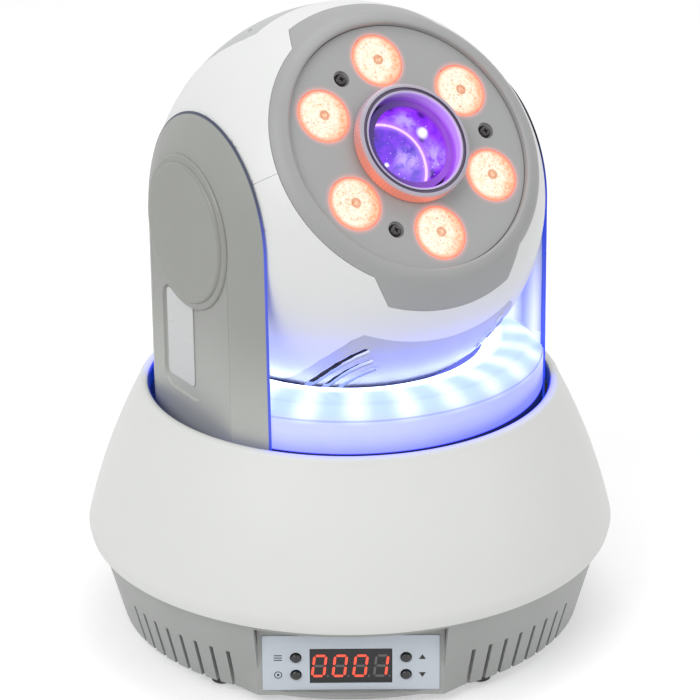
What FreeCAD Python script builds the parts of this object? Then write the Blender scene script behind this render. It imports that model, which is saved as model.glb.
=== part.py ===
import FreeCAD, Part
import math
import os

# Small moving head light with a lit ring in its yoke.
# Millimetres, Z up, origin on the surface the feet stand on, under the pan axis.
# The front panel faces -Y. The yoke and head are modelled square to it and then
# turned to the rest pose: panned to the right and tilted up.

V = FreeCAD.Vector
ORIGIN = V(0, 0, 0)
X_AXIS = V(1, 0, 0)
Y_AXIS = V(0, 1, 0)
Z_AXIS = V(0, 0, 1)
FULL_TURN = 360.0
RIGHT_ANGLE = 90.0

# Rest pose
PAN_ANGLE = 32.2
TILT_ANGLE = 37.5

# Clearances shared by all pieces
CUT = 1.0
SEAT = 0.3
RUN = 0.08
FIT = 0.03
PART_LINE = 0.2

# Pan drive inside the base
BRIDGE_Z = 48.0
BRIDGE_THICK = 2.0
BRIDGE_LENGTH = 136.0
BRIDGE_CORNER = 12.0
LEG_RADIUS = 3.5
LEG_END_GAP = 8.0
LEG_MOTOR_GAP = 4.0
LEG_SIDE_GAP = 6.0
BEARING_BORE_RADIUS = 10.0
BEARING_RACE_RADIUS = 12.9
BEARING_RADIUS = 16.0
BEARING_WIDTH = 6.6
BEARING_CUP_WALL = 1.8
PAN_SHAFT_BORE_RADIUS = 7.0
PAN_SHOULDER_RADIUS = 12.0
PAN_FLANGE_RADIUS = 20.0
PAN_FLANGE_THICK = 1.8
BELT_PITCH = 3.0
TOOTH_DEPTH = 1.1
TOOTH_TIP_SHARE = 0.25
TOOTH_ROOT_SHARE = 0.4
PAN_PULLEY_TEETH = 60
PAN_MOTOR_TEETH = 15
PAN_PULLEY_DROP = 10.0
PAN_PULLEY_HEIGHT = 8.0
PULLEY_FLANGE = 0.8
PULLEY_FLANGE_PROUD = 1.2
BELT_THICK = 1.1
BELT_GAP = 0.15
PAN_BELT_SPAN = 43.0
MOTOR_SIDE = 42.0
MOTOR_FLOOR_GAP = 0.8
MOTOR_CHAMFER = 4.5
MOTOR_PILOT_RADIUS = 11.0
MOTOR_SHAFT_RADIUS = 2.5
MOTOR_WAIST_SHARE = 0.96
MOTOR_END_SHARE = 0.25
SHELF_THICK = 2.0
SHELF_DROP = 6.2
SHELF_MARGIN = 5.0
SUPPLY_LENGTH = 40.0
SUPPLY_WIDTH = 42.0
SUPPLY_HEIGHT = 25.0
SUPPLY_X = 4.0
SUPPLY_FIN = 2.0
SUPPLY_FIN_COUNT = 7
SUPPLY_FIN_DEPTH = 1.5
LEG_X = BRIDGE_LENGTH / 2 - LEG_END_GAP
LEG_Y = MOTOR_SIDE / 2 + LEG_MOTOR_GAP
BRIDGE_WIDTH = 2 * (LEG_Y + LEG_SIDE_GAP)
PAN_PULLEY_Z = BRIDGE_Z - PAN_PULLEY_DROP
SHELF_Z = PAN_PULLEY_Z - SHELF_DROP

# Heights of the yoke, each from the one below
TRAY_FLOOR_RISE = 12.0
TRAY_HEIGHT = 28.0
RING_SKIRT_HEIGHT = 18.6
RING_CROWN_RISE = 6.0
RING_TOP_RISE = 1.1
RING_BRIM_DROP = 1.3
HEAD_RISE = 5.6
TRAY_FLOOR_Z = BRIDGE_Z + TRAY_FLOOR_RISE
TRAY_TOP_Z = TRAY_FLOOR_Z + TRAY_HEIGHT
RING_SHOULDER_Z = TRAY_TOP_Z + RING_SKIRT_HEIGHT
RING_CROWN_Z = RING_SHOULDER_Z + RING_CROWN_RISE
RING_TOP_Z = RING_CROWN_Z + RING_TOP_RISE
RING_INNER_Z = RING_TOP_Z - RING_BRIM_DROP

# Head housing, in the optical frame: X to the right arm, Y up, Z along the beam
HEAD_RADIUS = 74.4
HEAD_WALL = 2.2
HEAD_FLAT_DEPTH = 13.4
HEAD_SIDE_WALL = 2.0
HEAD_SIDE_HOLE = 12.0
HEAD_AXIS_Z = TRAY_TOP_Z + HEAD_RISE + HEAD_RADIUS
HEAD_SIDE_X = HEAD_RADIUS - HEAD_FLAT_DEPTH
BEZEL_DEPTH = 23.5
BEZEL_BAND = 6.66
BEZEL_WING_LENGTH = 7.0
BEZEL_WING_INNER_X = 31.3
BEZEL_WING_SLANT = 5.5
BEZEL_LIP_WIDTH = 1.6
BEZEL_LIP_RISE = 3.5
BEZEL_LIP_EASE = 0.8
BEZEL_BULGE = 0.65
BEZEL_SEAT_WIDTH = 3.1
BEZEL_SEAT = 1.5
BEZEL_EDGE_Z = HEAD_RADIUS - BEZEL_DEPTH
BEZEL_EDGE_RADIUS = math.sqrt(HEAD_RADIUS ** 2 - BEZEL_EDGE_Z ** 2)
BEZEL_BORE_RADIUS = BEZEL_EDGE_RADIUS - BEZEL_BAND
BEZEL_LIP_RADIUS = BEZEL_BORE_RADIUS + BEZEL_LIP_WIDTH
BEZEL_SEAT_RADIUS = BEZEL_BORE_RADIUS - BEZEL_SEAT_WIDTH
BEZEL_LIP_Z = BEZEL_EDGE_Z + BEZEL_LIP_RISE
BEZEL_BORE_Z = BEZEL_LIP_Z - BEZEL_LIP_EASE
BEZEL_WING_Z = BEZEL_EDGE_Z - BEZEL_WING_LENGTH
BEZEL_WING_OUTER_X = BEZEL_WING_INNER_X - BEZEL_WING_SLANT
REAR_WING_GAP = 12.9
REAR_WING_STEP = 10.5
REAR_WING_TIP_X = 31.5
REAR_WING_WAIST_X = 39.6
REAR_WING_ROOT_X = 44.0
REAR_INSET = 0.8
REAR_EDGE_Z = -BEZEL_EDGE_Z
REAR_WING_Z = BEZEL_WING_Z - REAR_WING_GAP
REAR_WING_STEP_Z = REAR_WING_Z - REAR_WING_STEP
COVER_SCREW_X = 28.7
COVER_SCREW_INSET = 8.3
COVER_SCREW_DEPTH = 1.6
COVER_SCREW_Z = REAR_WING_Z - COVER_SCREW_INSET
COVER_VENT_WIDTH = 2.6
COVER_VENT_X = (22.5, 26.5, 30.5)
COVER_VENT_DROPS = (16.0, 11.5, 7.0)
COVER_VENT_LENGTH = 51.0
COVER_VENT_SLANT = 5.0
COVER_VENT_REAR_Z = REAR_WING_Z - COVER_VENT_LENGTH
REAR_GRILLE_RADII = (10.0, 17.0, 24.0, 31.0)
REAR_GRILLE_WIDTH = 3.2
REAR_GRILLE_SPOKE = 4.0

# Face plate, focus ring and lens
FACE_RISE = 1.3
FACE_THICK = 2.0
FACE_SCREW_ANGLES = (0.0, 120.0, 240.0)
FACE_SCREW_POCKET_RADIUS = 3.1
FACE_SCREW_POCKET_DEPTH = 1.5
TUBE_RADIUS = 18.7
TUBE_WALL = 1.5
TUBE_OVERLAP = 1.0
FOCUS_NECK_WALL = 1.12
FOCUS_FLANGE = 2.5
FOCUS_GAP = 0.4
FOCUS_LENGTH = 5.4
FOCUS_NECK_LENGTH = 6.6
FOCUS_LIP_WIDTH = 1.08
FOCUS_LIP = 1.1
FOCUS_KNURLS = 36
FOCUS_KNURL_RADIUS = 0.7
FOCUS_SETBACK_SHARE = 0.25
CELL_SETBACK = 4.0
CELL_LENGTH = 12.5
CELL_WALL = 1.2
CELL_LIP = 1.0
CELL_LIP_WIDTH = 1.12
CELL_LENS_DEPTH = 4.5
FRONT_LENS_EDGE = 2.4
FRONT_LENS_BULGE = 2.2
FACE_Z = BEZEL_EDGE_Z + FACE_RISE
TUBE_BORE_RADIUS = TUBE_RADIUS - TUBE_WALL
FOCUS_BORE_RADIUS = TUBE_RADIUS + RUN
FOCUS_NECK_RADIUS = FOCUS_BORE_RADIUS + FOCUS_NECK_WALL
FOCUS_RADIUS = FOCUS_NECK_RADIUS + FOCUS_FLANGE
FOCUS_LIP_RADIUS = FOCUS_BORE_RADIUS - FOCUS_LIP_WIDTH
FOCUS_BACK_Z = FACE_Z + FOCUS_GAP
FOCUS_FRONT_Z = FOCUS_BACK_Z + FOCUS_LENGTH
FOCUS_NECK_Z = FOCUS_BACK_Z - FOCUS_NECK_LENGTH
TUBE_FRONT_Z = FOCUS_NECK_Z + TUBE_OVERLAP
CELL_RADIUS = TUBE_BORE_RADIUS - RUN
CELL_FRONT_Z = FOCUS_FRONT_Z - CELL_SETBACK
CELL_BACK_Z = CELL_FRONT_Z - CELL_LENGTH
CELL_LIP_RADIUS = CELL_RADIUS - CELL_WALL - CELL_LIP_WIDTH
FRONT_LENS_Z = CELL_FRONT_Z - CELL_LENS_DEPTH

# Ring of moulded lenses, which fills the plate between the focus ring and the bezel
LENS_COUNT = 6
LENS_FIRST_ANGLE = 30.0
LENS_NECK_GAP = 4.2
LENS_RIM_GAP = 3.7
LENS_GAP = 0.2
LENS_DOME = 0.8
LENS_LENGTH = 12.0
LENS_TAIL_RADIUS = 4.0
LENS_RIM_THICK = 1.8
LENS_RADIUS = (BEZEL_BORE_RADIUS - FOCUS_NECK_RADIUS - LENS_NECK_GAP - LENS_RIM_GAP) / 2
LENS_ORBIT_RADIUS = FOCUS_NECK_RADIUS + LENS_NECK_GAP + LENS_RADIUS

# Light engine
BOARD_THICK = 1.6
BOARD_DROP = 15.8
ENGINE_INSET = 3.6
BOARD_HOLE_RADIUS = 19.4
CHIP_SIDE = 6.0
CHIP_HEIGHT = 1.2
SINK_BORE_RADIUS = 28.0
SINK_BASE = 5.0
SINK_FIN_LENGTH = 17.0
SINK_FIN_THICK = 1.6
SINK_FIN_PITCH = 7.6
SINK_FIN_COUNT = 11
POST_INSET = 8.0
POST_Y = 11.4
POST_RADIUS = 2.5
HOUSING_RADIUS = 26.4
HOUSING_WALL = 1.5
HOUSING_LENGTH = 17.2
DISC_OFFSET = 9.0
DISC_THICK = 1.6
DISC_RADIUS = 22.0
DISC_RIM = 2.0
EFFECT_MOTOR_RADIUS = 7.5
EFFECT_MOTOR_LENGTH = 14.0
SPOT_CHIP_SIDE = 4.0
SPOT_CHIP_HEIGHT = 1.0
SPOT_ORBIT_RADIUS = 9.0
SPOT_CHIP_COUNT = 3
CHASSIS_Z = -6.0
CHASSIS_THICK = 2.0
CHASSIS_HALF_WIDTH = 15.0
CHASSIS_TAB_TOP_Z = 12.0
BOARD_Z = FACE_Z - BOARD_DROP
BOARD_RADIUS = BEZEL_BORE_RADIUS - ENGINE_INSET
POST_X = BOARD_RADIUS - POST_INSET
TUBE_BACK_Z = BOARD_Z - SINK_BASE - PART_LINE
HOUSING_BACK_Z = TUBE_BACK_Z - HOUSING_LENGTH
DISC_Z = HOUSING_BACK_Z + DISC_OFFSET

# Fan behind the chassis
FAN_SIDE = 60.0
FAN_DEPTH = 15.0
FAN_SETBACK = 4.9
FAN_BORE_RADIUS = 28.4
FAN_CORNER = 5.0
FAN_HUB_RADIUS = 13.0
FAN_BLADE_REACH = 27.6
FAN_BLADES = 7
FAN_BLADE_THICK = 1.6
FAN_BLADE_TWIST = 38.0
FAN_BLADE_SHARE = 0.55
FAN_STRUT_WIDTH = 3.0
FAN_STRUT_THICK = 2.0
FAN_HOLE_RADIUS = 2.2
FAN_BACK_Z = REAR_EDGE_Z + FAN_SETBACK

# Yoke arms
YOKE_PROUD = 0.4
ARM_HEAD_GAP = 0.5
ARM_WIDTH = 7.7
ARM_EDGE_INSET = 0.6
ARM_EDGE_TAPER = 1.0
ARM_FOLD_TOP_Y = 12.0
ARM_FOLD_LOW_Y = 32.0
ARM_FOLD_RISE = 10.0
ARM_FOOT_RISE = 6.0
ARM_LINER = 1.6
ARM_WALL = 1.8
ARM_PANEL_HALF = 29.5
ARM_PANEL_PROUD = 1.1
ARM_PANEL_TOP_RADIUS = 47.0
ARM_PANEL_GAP = 0.7
ARM_BEAD_WIDTH = 3.4
ARM_BOSS_RADIUS = 11.2
ARM_BOSS_PROUD = 1.9
YOKE_RADIUS = HEAD_RADIUS + YOKE_PROUD
ARM_INNER_X = HEAD_SIDE_X + ARM_HEAD_GAP
ARM_FACE_X = ARM_INNER_X + ARM_WIDTH
ARM_EDGE_TOP_Y = math.sqrt(YOKE_RADIUS ** 2 - ARM_INNER_X ** 2) - ARM_EDGE_INSET
ARM_EDGE_LOW_Y = ARM_EDGE_TOP_Y - ARM_EDGE_TAPER
ARM_BEAD_INNER = ARM_EDGE_LOW_Y - ARM_BEAD_WIDTH
ARM_FOLD_Z = TRAY_TOP_Z + ARM_FOLD_RISE
ARM_BOTTOM_Z = TRAY_FLOOR_Z + ARM_FOOT_RISE
ARM_PANEL_LOW_Z = RING_TOP_Z + ARM_PANEL_GAP
ARM_BOSS_X = ARM_INNER_X - ARM_BOSS_PROUD
CAP_RADIUS = 29.0
CAP_STEP_WIDTH = 1.5
CAP_BULGE = 0.375
CAP_PROUD = 2.0
CAP_STEP_SHARE = 0.5
CAP_WALL = 1.5
CAP_SPIGOT_RADIUS = 24.0
CAP_SPIGOT_WALL = 1.3
CAP_SPIGOT_DEPTH = 1.6
CAP_STEP_RADIUS = CAP_RADIUS - CAP_STEP_WIDTH
CAP_FACE_RADIUS = CAP_STEP_RADIUS - CAP_STEP_WIDTH
RECESS_REAR_Y = 21.0
RECESS_FRONT_Y = 7.7
RECESS_DROP = 22.0
RECESS_HEIGHT = 44.2
RECESS_DEPTH = 0.9
RECESS_CORNER = 5.0
NAMEPLATE_REAR_GAP = 2.6
NAMEPLATE_FRONT_GAP = 6.4
NAMEPLATE_TOP_GAP = 4.5
NAMEPLATE_HEIGHT = 34.7
NAMEPLATE_THICK = 0.5
NAMEPLATE_CORNER = 2.0
RECESS_TOP_Z = HEAD_AXIS_Z - RECESS_DROP
RECESS_BOTTOM_Z = RECESS_TOP_Z - RECESS_HEIGHT
NAMEPLATE_REAR_Y = RECESS_REAR_Y - NAMEPLATE_REAR_GAP
NAMEPLATE_FRONT_Y = RECESS_FRONT_Y - NAMEPLATE_FRONT_GAP
NAMEPLATE_TOP_Z = RECESS_TOP_Z - NAMEPLATE_TOP_GAP
NAMEPLATE_BOTTOM_Z = NAMEPLATE_TOP_Z - NAMEPLATE_HEIGHT

# Drive that nods the head, in the left arm
HEAD_PULLEY_TEETH = 36
HEAD_MOTOR_TEETH = 12
HEAD_BELT_WIDTH = 2.4
HEAD_PULLEY_INSET = 2.5
HEAD_MOTOR_RISE = 18.0
HEAD_MOTOR_SIDE = 28.0
HEAD_MOTOR_LENGTH = 26.0
HEAD_MOTOR_CHAMFER = 3.0
HEAD_MOTOR_PILOT_RADIUS = 8.0
HEAD_SHAFT_RADIUS = 2.0
TRUNNION_RADIUS = 6.0
TRUNNION_BORE_RADIUS = 4.0
TRUNNION_FLANGE_RADIUS = 10.0
TRUNNION_FLANGE_THICK = 1.6
TRUNNION_END_GAP = 2.0
HEAD_BEARING_RADIUS = 9.4
HEAD_BEARING_WIDTH = 3.0
HEAD_PULLEY_X = ARM_INNER_X + HEAD_PULLEY_INSET
HEAD_MOTOR_Z = TRAY_FLOOR_Z + HEAD_MOTOR_RISE
TRUNNION_END_X = ARM_FACE_X - TRUNNION_END_GAP

# Lit ring, tray and dish, inside the rim and round the foot of the head
RIM_GAP = 1.16
RING_GAP = 2.4
RING_WALL = 1.8
RING_STEP = 0.6
RING_CROWN_INSET = 6.4
RING_TOP_INSET = 6.6
RING_HEAD_GAP = 2.56
RING_LIP_DEPTH = 4.0
RING_BOARD_INSET = 4.0
RING_BOARD_GAP = 5.0
RING_BOARD_DROP = 6.6
RING_CHIP_SIDE = 5.0
RING_CHIP_HEIGHT = 1.2
RING_CHIP_INSET = 9.0
RING_CHIP_COUNT = 24
RING_CHIP_SIDE_GAP = 6.5
TRAY_INSET = 2.5
TRAY_WALL = 2.2
TRAY_LIP = 2.0
TRAY_POST_RADIUS = 2.5
TRAY_POST_INSET = 3.5
TRAY_POST_ANGLES = (-90.0, -35.0, 35.0, 90.0)
SIDE_GAP = 0.3
DISH_GAP = 0.6
DISH_CLEARANCE = 2.0
DISH_WALL = 1.5
DISH_POST_X = 12.0
DISH_POST_Y = 38.0
DISH_POST_RADIUS = 3.0
RIM_RADIUS = math.hypot(ARM_FACE_X, ARM_FOLD_LOW_Y) + RIM_GAP
RING_RADIUS = RIM_RADIUS - RING_GAP
RING_CROWN_RADIUS = RING_RADIUS - RING_CROWN_INSET
RING_TOP_RADIUS = RING_CROWN_RADIUS - RING_TOP_INSET
RING_INNER_RADIUS = math.sqrt(HEAD_RADIUS ** 2 - (HEAD_AXIS_Z - RING_INNER_Z) ** 2) + RING_HEAD_GAP
RING_BOARD_OUTER = RING_RADIUS - RING_BOARD_INSET
RING_BOARD_INNER = RING_INNER_RADIUS + RING_BOARD_GAP
RING_BOARD_Z = RING_SHOULDER_Z - RING_BOARD_DROP
RING_CHIP_RADIUS = RING_RADIUS - RING_CHIP_INSET
RING_CHIP_REACH = ARM_INNER_X - RING_CHIP_SIDE_GAP
TRAY_RADIUS = RING_RADIUS - TRAY_INSET
TRAY_POST_PLACE = RING_BOARD_INNER + TRAY_POST_INSET
DISH_RADIUS = RING_INNER_RADIUS - DISH_GAP

# Base housing
BASE_RADIUS = 102.8
BASE_WIDEST_Z = 40.0
BASE_BOTTOM_Z = 4.0
SKIRT_INSET = 3.4
SKIRT_TAPER = 8.8
SKIRT_LIP = 3.0
SHELL_WALL = 2.4
SHELL_BULGE = 1.9
SHELL_EDGE_Z = 36.8
SHELL_EDGE_INSET = 0.7
RIM_RISE = 9.1
RIM_LIP = 4.4
RIM_CREST_SHARE = 0.4
RIM_DROP = 2.1
RIM_EASE = 1.3
RIM_DEPTH = 7.0
RIM_SEAM_WALL = 3.6
FLANGE_WIDTH = 13.0
LEDGE_WIDTH = 3.4
LEDGE_HEIGHT = 2.0
RIM_TOP_Z = TRAY_TOP_Z + RIM_RISE
SKIRT_TOP_RADIUS = BASE_RADIUS - SKIRT_INSET
BASE_FOOT_RADIUS = SKIRT_TOP_RADIUS - SKIRT_TAPER

# Vent slots around the grey skirt
SLOT_WIDTH = 1.7
SLOT_TOP_Z = 20.6
SLOT_COUNT = 8
SLOT_FIRST_ANGLE = 28.6
SLOT_PITCH_ANGLE = 4.5

# Front control panel
PANEL_INSET = 3.7
PANEL_MARGIN = 1.85
PANEL_CHEEK_WIDTH = 10.0
PANEL_CHEEK_DEPTH = 9.0
PANEL_FLARE = 3.5
PANEL_SILL_Z = 5.6
PANEL_FLOOR = 1.8
LABEL_WIDTH = 65.3
LABEL_HEIGHT = 22.6
LABEL_THICK = 0.5
LABEL_GAP = 0.7
DISPLAY_WIDTH = 30.1
DISPLAY_HEIGHT = 14.0
DISPLAY_DEPTH = 7.0
DISPLAY_Z = 16.2
DISPLAY_GAP = 0.15
BUTTON_X = 20.3
BUTTON_PITCH = 7.1
BUTTON_RADIUS = 1.75
BUTTON_HOLE_RADIUS = 2.1
BUTTON_PROUD = 1.4
BUTTON_COLLAR_RADIUS = 2.5
BUTTON_COLLAR = 0.7
BUTTON_GAP = 0.4
SWITCH_SIDE = 6.0
SWITCH_HEIGHT = 2.7
PANEL_FACE_Y = BASE_FOOT_RADIUS - PANEL_INSET
PANEL_HALF = LABEL_WIDTH / 2 + PANEL_MARGIN
PANEL_CHEEK_HALF = PANEL_HALF + PANEL_CHEEK_WIDTH
LABEL_LOW_Z = PANEL_SILL_Z + LABEL_GAP

# Rear connector panel
REAR_FACE_INSET = 6.1
REAR_HALF = 47.0
REAR_CHEEK_WIDTH = 8.0
CONNECTOR_Z = 20.4
INLET_X = -27.5
INLET_FLANGE_WIDTH = 31.0
INLET_FLANGE_HEIGHT = 24.0
INLET_FLANGE_THICK = 2.2
INLET_BODY_WIDTH = 27.2
INLET_BODY_HEIGHT = 19.8
INLET_BODY_DEPTH = 22.0
INLET_CAVITY_WIDTH = 24.2
INLET_CAVITY_HEIGHT = 16.4
INLET_CAVITY_DEPTH = 17.0
INLET_CAVITY_CHAMFER = 4.6
INLET_PIN_X = 7.0
INLET_PIN_Z = 2.0
INLET_PIN_WIDTH = 2.0
INLET_PIN_HEIGHT = 4.0
INLET_PIN_SHORT = 2.0
DATA_IN_X = 6.5
DATA_OUT_X = 32.5
DATA_FLANGE = 25.0
DATA_FLANGE_THICK = 2.0
DATA_FLANGE_CORNER = 3.0
DATA_BODY_DEPTH = 19.0
DATA_SHELL_RADIUS = 9.6
DATA_CAVITY_RADIUS = 8.05
DATA_CAVITY_DEPTH = 13.0
DATA_PIN_RADIUS = 1.2
DATA_PIN_PLACE = 4.75
DATA_PIN_SHORT = 1.5
DATA_CORE_RADIUS = 7.85
DATA_SOCKET_RADIUS = 1.3
DATA_SOCKET_DEPTH = 10.0
DATA_OUT_SHELL_RADIUS = 11.9
LATCH_WIDTH = 6.0
LATCH_HEIGHT = 1.6
LATCH_TRAVEL = 1.5
LATCH_PROUD = 2.4
LATCH_DEPTH = 4.0
LATCH_GAP = 0.35
REAR_FACE_Y = BASE_FOOT_RADIUS - REAR_FACE_INSET
REAR_CHEEK_HALF = REAR_HALF + REAR_CHEEK_WIDTH

# Feet, bottom plate and screws
FOOT_INSET = 7.5
FOOT_ANGLE = 54.3
FOOT_RADIUS = 4.6
FOOT_TIP_SHARE = 0.875
FOOT_RECESS_RADIUS = 2.7
FOOT_RECESS_DEPTH = 2.4
SCREW_HEAD_RADIUS = 2.4
SCREW_HEAD_HEIGHT = 1.4
SCREW_RADIUS = 1.5
SCREW_LENGTH = 6.0
SCREW_GAP = 0.12
PLATE_THICK = 1.5
PLATE_Z = 5.0
PLATE_EDGE_GAP = 0.5
PLATE_VENT_COUNT = 12
PLATE_VENT_RADIUS = 3.0
PLATE_VENT_INSET = 20.6
BRACKET_SPACING = 100.0
BRACKET_THREAD_RADIUS = 2.5
BRACKET_BUSH_RADIUS = 5.0
BRACKET_BUSH_LENGTH = 4.0
SHELL_BOSS_RADIUS = 3.6
SHELL_BOSS_INSET = 6.4
SHELL_BOSS_HEIGHT = 14.0
SHELL_BOSS_COUNT = 4
SHELL_BOSS_FIRST_ANGLE = 45.0
SHELL_RIB = 1.6
FOOT_PLACE = BASE_FOOT_RADIUS - FOOT_INSET
PLATE_VENT_PLACE = BASE_FOOT_RADIUS - PLATE_VENT_INSET
SHELL_BOSS_PLACE = SKIRT_TOP_RADIUS - SHELL_BOSS_INSET

# Chords that stand for an arc in a turned outline
SIDE_STEPS = 4
WALL_STEPS = 2
RIM_STEPS = 4
RING_STEPS = 3
DISH_STEPS = 5
LENS_STEPS = 3
CAP_STEPS = 2


def at(x, y, z):
    return V(x, y, z)


def outline(start, *legs):
    """Closed face in the X-Z plane. A leg is an end point, or a pair of mid and end points."""
    edges = []
    here = at(start[0], 0, start[1])
    for leg in legs + (start,):
        if isinstance(leg[0], tuple):
            through = at(leg[0][0], 0, leg[0][1])
            end = at(leg[1][0], 0, leg[1][1])
            edges.append(Part.Arc(here, through, end).toShape())
        else:
            end = at(leg[0], 0, leg[1])
            if here.distanceToPoint(end) == 0:
                continue
            edges.append(Part.LineSegment(here, end).toShape())
        here = end
    return Part.Face(Part.Wire(edges))


def turned(start, *legs):
    """Solid of revolution about Z from a closed outline of radius and height."""
    return outline(start, *legs).revolve(ORIGIN, Z_AXIS, FULL_TURN)


def bulged(first, last, rise):
    """Mid point of a chord, moved outwards by rise."""
    run = last[0] - first[0]
    fall = last[1] - first[1]
    length = math.hypot(run, fall)
    return ((first[0] + last[0]) / 2 - fall / length * rise, (first[1] + last[1]) / 2 + run / length * rise)


def prism(points, low, high):
    """Straight-sided solid over a polygon in X and Y."""
    corners = [at(x, y, low) for x, y in points]
    face = Part.Face(Part.makePolygon(corners + corners[:1]))
    return face.extrude(at(0, 0, high - low))


def block(x_low, x_high, y_low, y_high, z_low, z_high):
    return Part.makeBox(x_high - x_low, y_high - y_low, z_high - z_low, at(x_low, y_low, z_low))


def rod(radius, low, high, x=0, y=0):
    return Part.makeCylinder(radius, high - low, at(x, y, low))


def tube(outer, inner, low, high, x=0, y=0):
    return rod(outer, low, high, x, y).cut(rod(inner, low - CUT, high + CUT, x, y))


def ball(radius):
    """Ball with its poles on X, where the head and the arms are cut flat."""
    return Part.makeSphere(radius, ORIGIN, X_AXIS)


def chords(start, through, end, steps):
    """Ends of the even chords of an arc, for a turned wall that is made of plain cones."""
    arc = Part.Arc(at(start[0], 0, start[1]), at(through[0], 0, through[1]), at(end[0], 0, end[1]))
    return [(point.x, point.z) for point in arc.toShape().discretize(steps + 1)[1:]]


def dome(radius, rise, z):
    """Chords of a low cap over a disc at z, from its rim to the axis."""
    curve = (radius ** 2 + rise ** 2) / (2 * rise)
    middle = (radius / 2, z + rise - curve + math.sqrt(curve ** 2 - radius ** 2 / 4))
    return chords((radius, z), middle, (0, z + rise), LENS_STEPS)


def polar(radius, angle):
    """Point at an angle from +X towards +Y."""
    turn = math.radians(angle)
    return radius * math.cos(turn), radius * math.sin(turn)


def rounded_plate(x_low, x_high, y_low, y_high, z_low, z_high, corner):
    """Plate with rounded vertical edges."""
    plate = block(x_low, x_high, y_low, y_high, z_low, z_high)
    uprights = [edge for edge in plate.Edges if abs(edge.tangentAt(edge.FirstParameter).z) > CUT / 2]
    return plate.makeFillet(corner, uprights)


def group(solids):
    return Part.makeCompound(list(solids))


def joined(first, others):
    return first.fuse(list(others)).removeSplitter()


def turn_about(shape, axis, angle):
    moved = shape.copy()
    moved.rotate(ORIGIN, axis, angle)
    return moved


def shifted(shape, x, y, z):
    moved = shape.copy()
    moved.translate(at(x, y, z))
    return moved


def facing_front(shape):
    """Swing a shape built along +Z so that it points along -Y, keeping X."""
    return turn_about(shape, X_AXIS, RIGHT_ANGLE)


def facing_rear(shape):
    """Swing a shape built along +Z so that it points along +Y, with its X mirrored to stay upright."""
    return turn_about(turn_about(shape, Z_AXIS, 2 * RIGHT_ANGLE), X_AXIS, -RIGHT_ANGLE)


def along_x(shape):
    """Swing a shape built along +Z so that it points along +X."""
    return turn_about(shape, Y_AXIS, RIGHT_ANGLE)


def left_side(shape):
    return shape.mirror(ORIGIN, X_AXIS)


def on_yoke(shape):
    return turn_about(shape, Z_AXIS, PAN_ANGLE)


def on_tilt_axis(shape):
    """From an origin on the tilt axis to the yoke's place."""
    return on_yoke(shifted(shape, 0, 0, HEAD_AXIS_Z))


def in_head(shape):
    """From the optical frame to the tilted and panned head."""
    return on_tilt_axis(turn_about(shape, X_AXIS, RIGHT_ANGLE - TILT_ANGLE))


def pitch_radius(teeth):
    return teeth * BELT_PITCH / (2 * math.pi)


def toothed_disc(teeth, tip_radius, root_radius, low, high):
    """Disc with straight-flanked teeth."""
    points = []
    step = FULL_TURN / teeth
    for index in range(teeth):
        middle = index * step
        points.append(polar(root_radius, middle - step * TOOTH_ROOT_SHARE))
        points.append(polar(tip_radius, middle - step * TOOTH_TIP_SHARE))
        points.append(polar(tip_radius, middle + step * TOOTH_TIP_SHARE))
        points.append(polar(root_radius, middle + step * TOOTH_ROOT_SHARE))
    return prism(points, low, high)


def belt_pulley(teeth, bore, low, high):
    """Toothed pulley with a flange at each end."""
    tip = pitch_radius(teeth)
    flange = tip + PULLEY_FLANGE_PROUD
    wheel = toothed_disc(teeth, tip, tip - TOOTH_DEPTH, low, high)
    rims = [rod(flange, low, low + PULLEY_FLANGE), rod(flange, high - PULLEY_FLANGE, high)]
    return joined(wheel, rims).cut(rod(bore, low - CUT, high + CUT))


def belt_loop(big_radius, small_radius, distance, low, high):
    """Flat belt round a big wheel at the origin and a small one at -X distance."""
    def track(extra):
        big = big_radius + extra
        small = small_radius + extra
        lean = math.degrees(math.acos((big - small) / distance))
        top_big = polar(big, 2 * RIGHT_ANGLE - lean)
        low_big = (top_big[0], -top_big[1])
        top_small = polar(small, 2 * RIGHT_ANGLE - lean)
        top_small = (top_small[0] - distance, top_small[1])
        low_small = (top_small[0], -top_small[1])
        edges = [
            Part.LineSegment(at(*low_small, low), at(*low_big, low)).toShape(),
            Part.Arc(at(*low_big, low), at(big, 0, low), at(*top_big, low)).toShape(),
            Part.LineSegment(at(*top_big, low), at(*top_small, low)).toShape(),
            Part.Arc(at(*top_small, low), at(-distance - small, 0, low), at(*low_small, low)).toShape(),
        ]
        return Part.Face(Part.Wire(edges)).extrude(at(0, 0, high - low))
    return track(BELT_GAP + BELT_THICK).cut(track(BELT_GAP))


# Sizes that several sub-assemblies share
def skirt_radius(z):
    """Outer radius of the grey skirt at a height."""
    rise = (z - BASE_BOTTOM_Z) / (SHELL_EDGE_Z - PART_LINE - BASE_BOTTOM_Z)
    return BASE_FOOT_RADIUS + (SKIRT_TOP_RADIUS - BASE_FOOT_RADIUS) * rise


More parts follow.
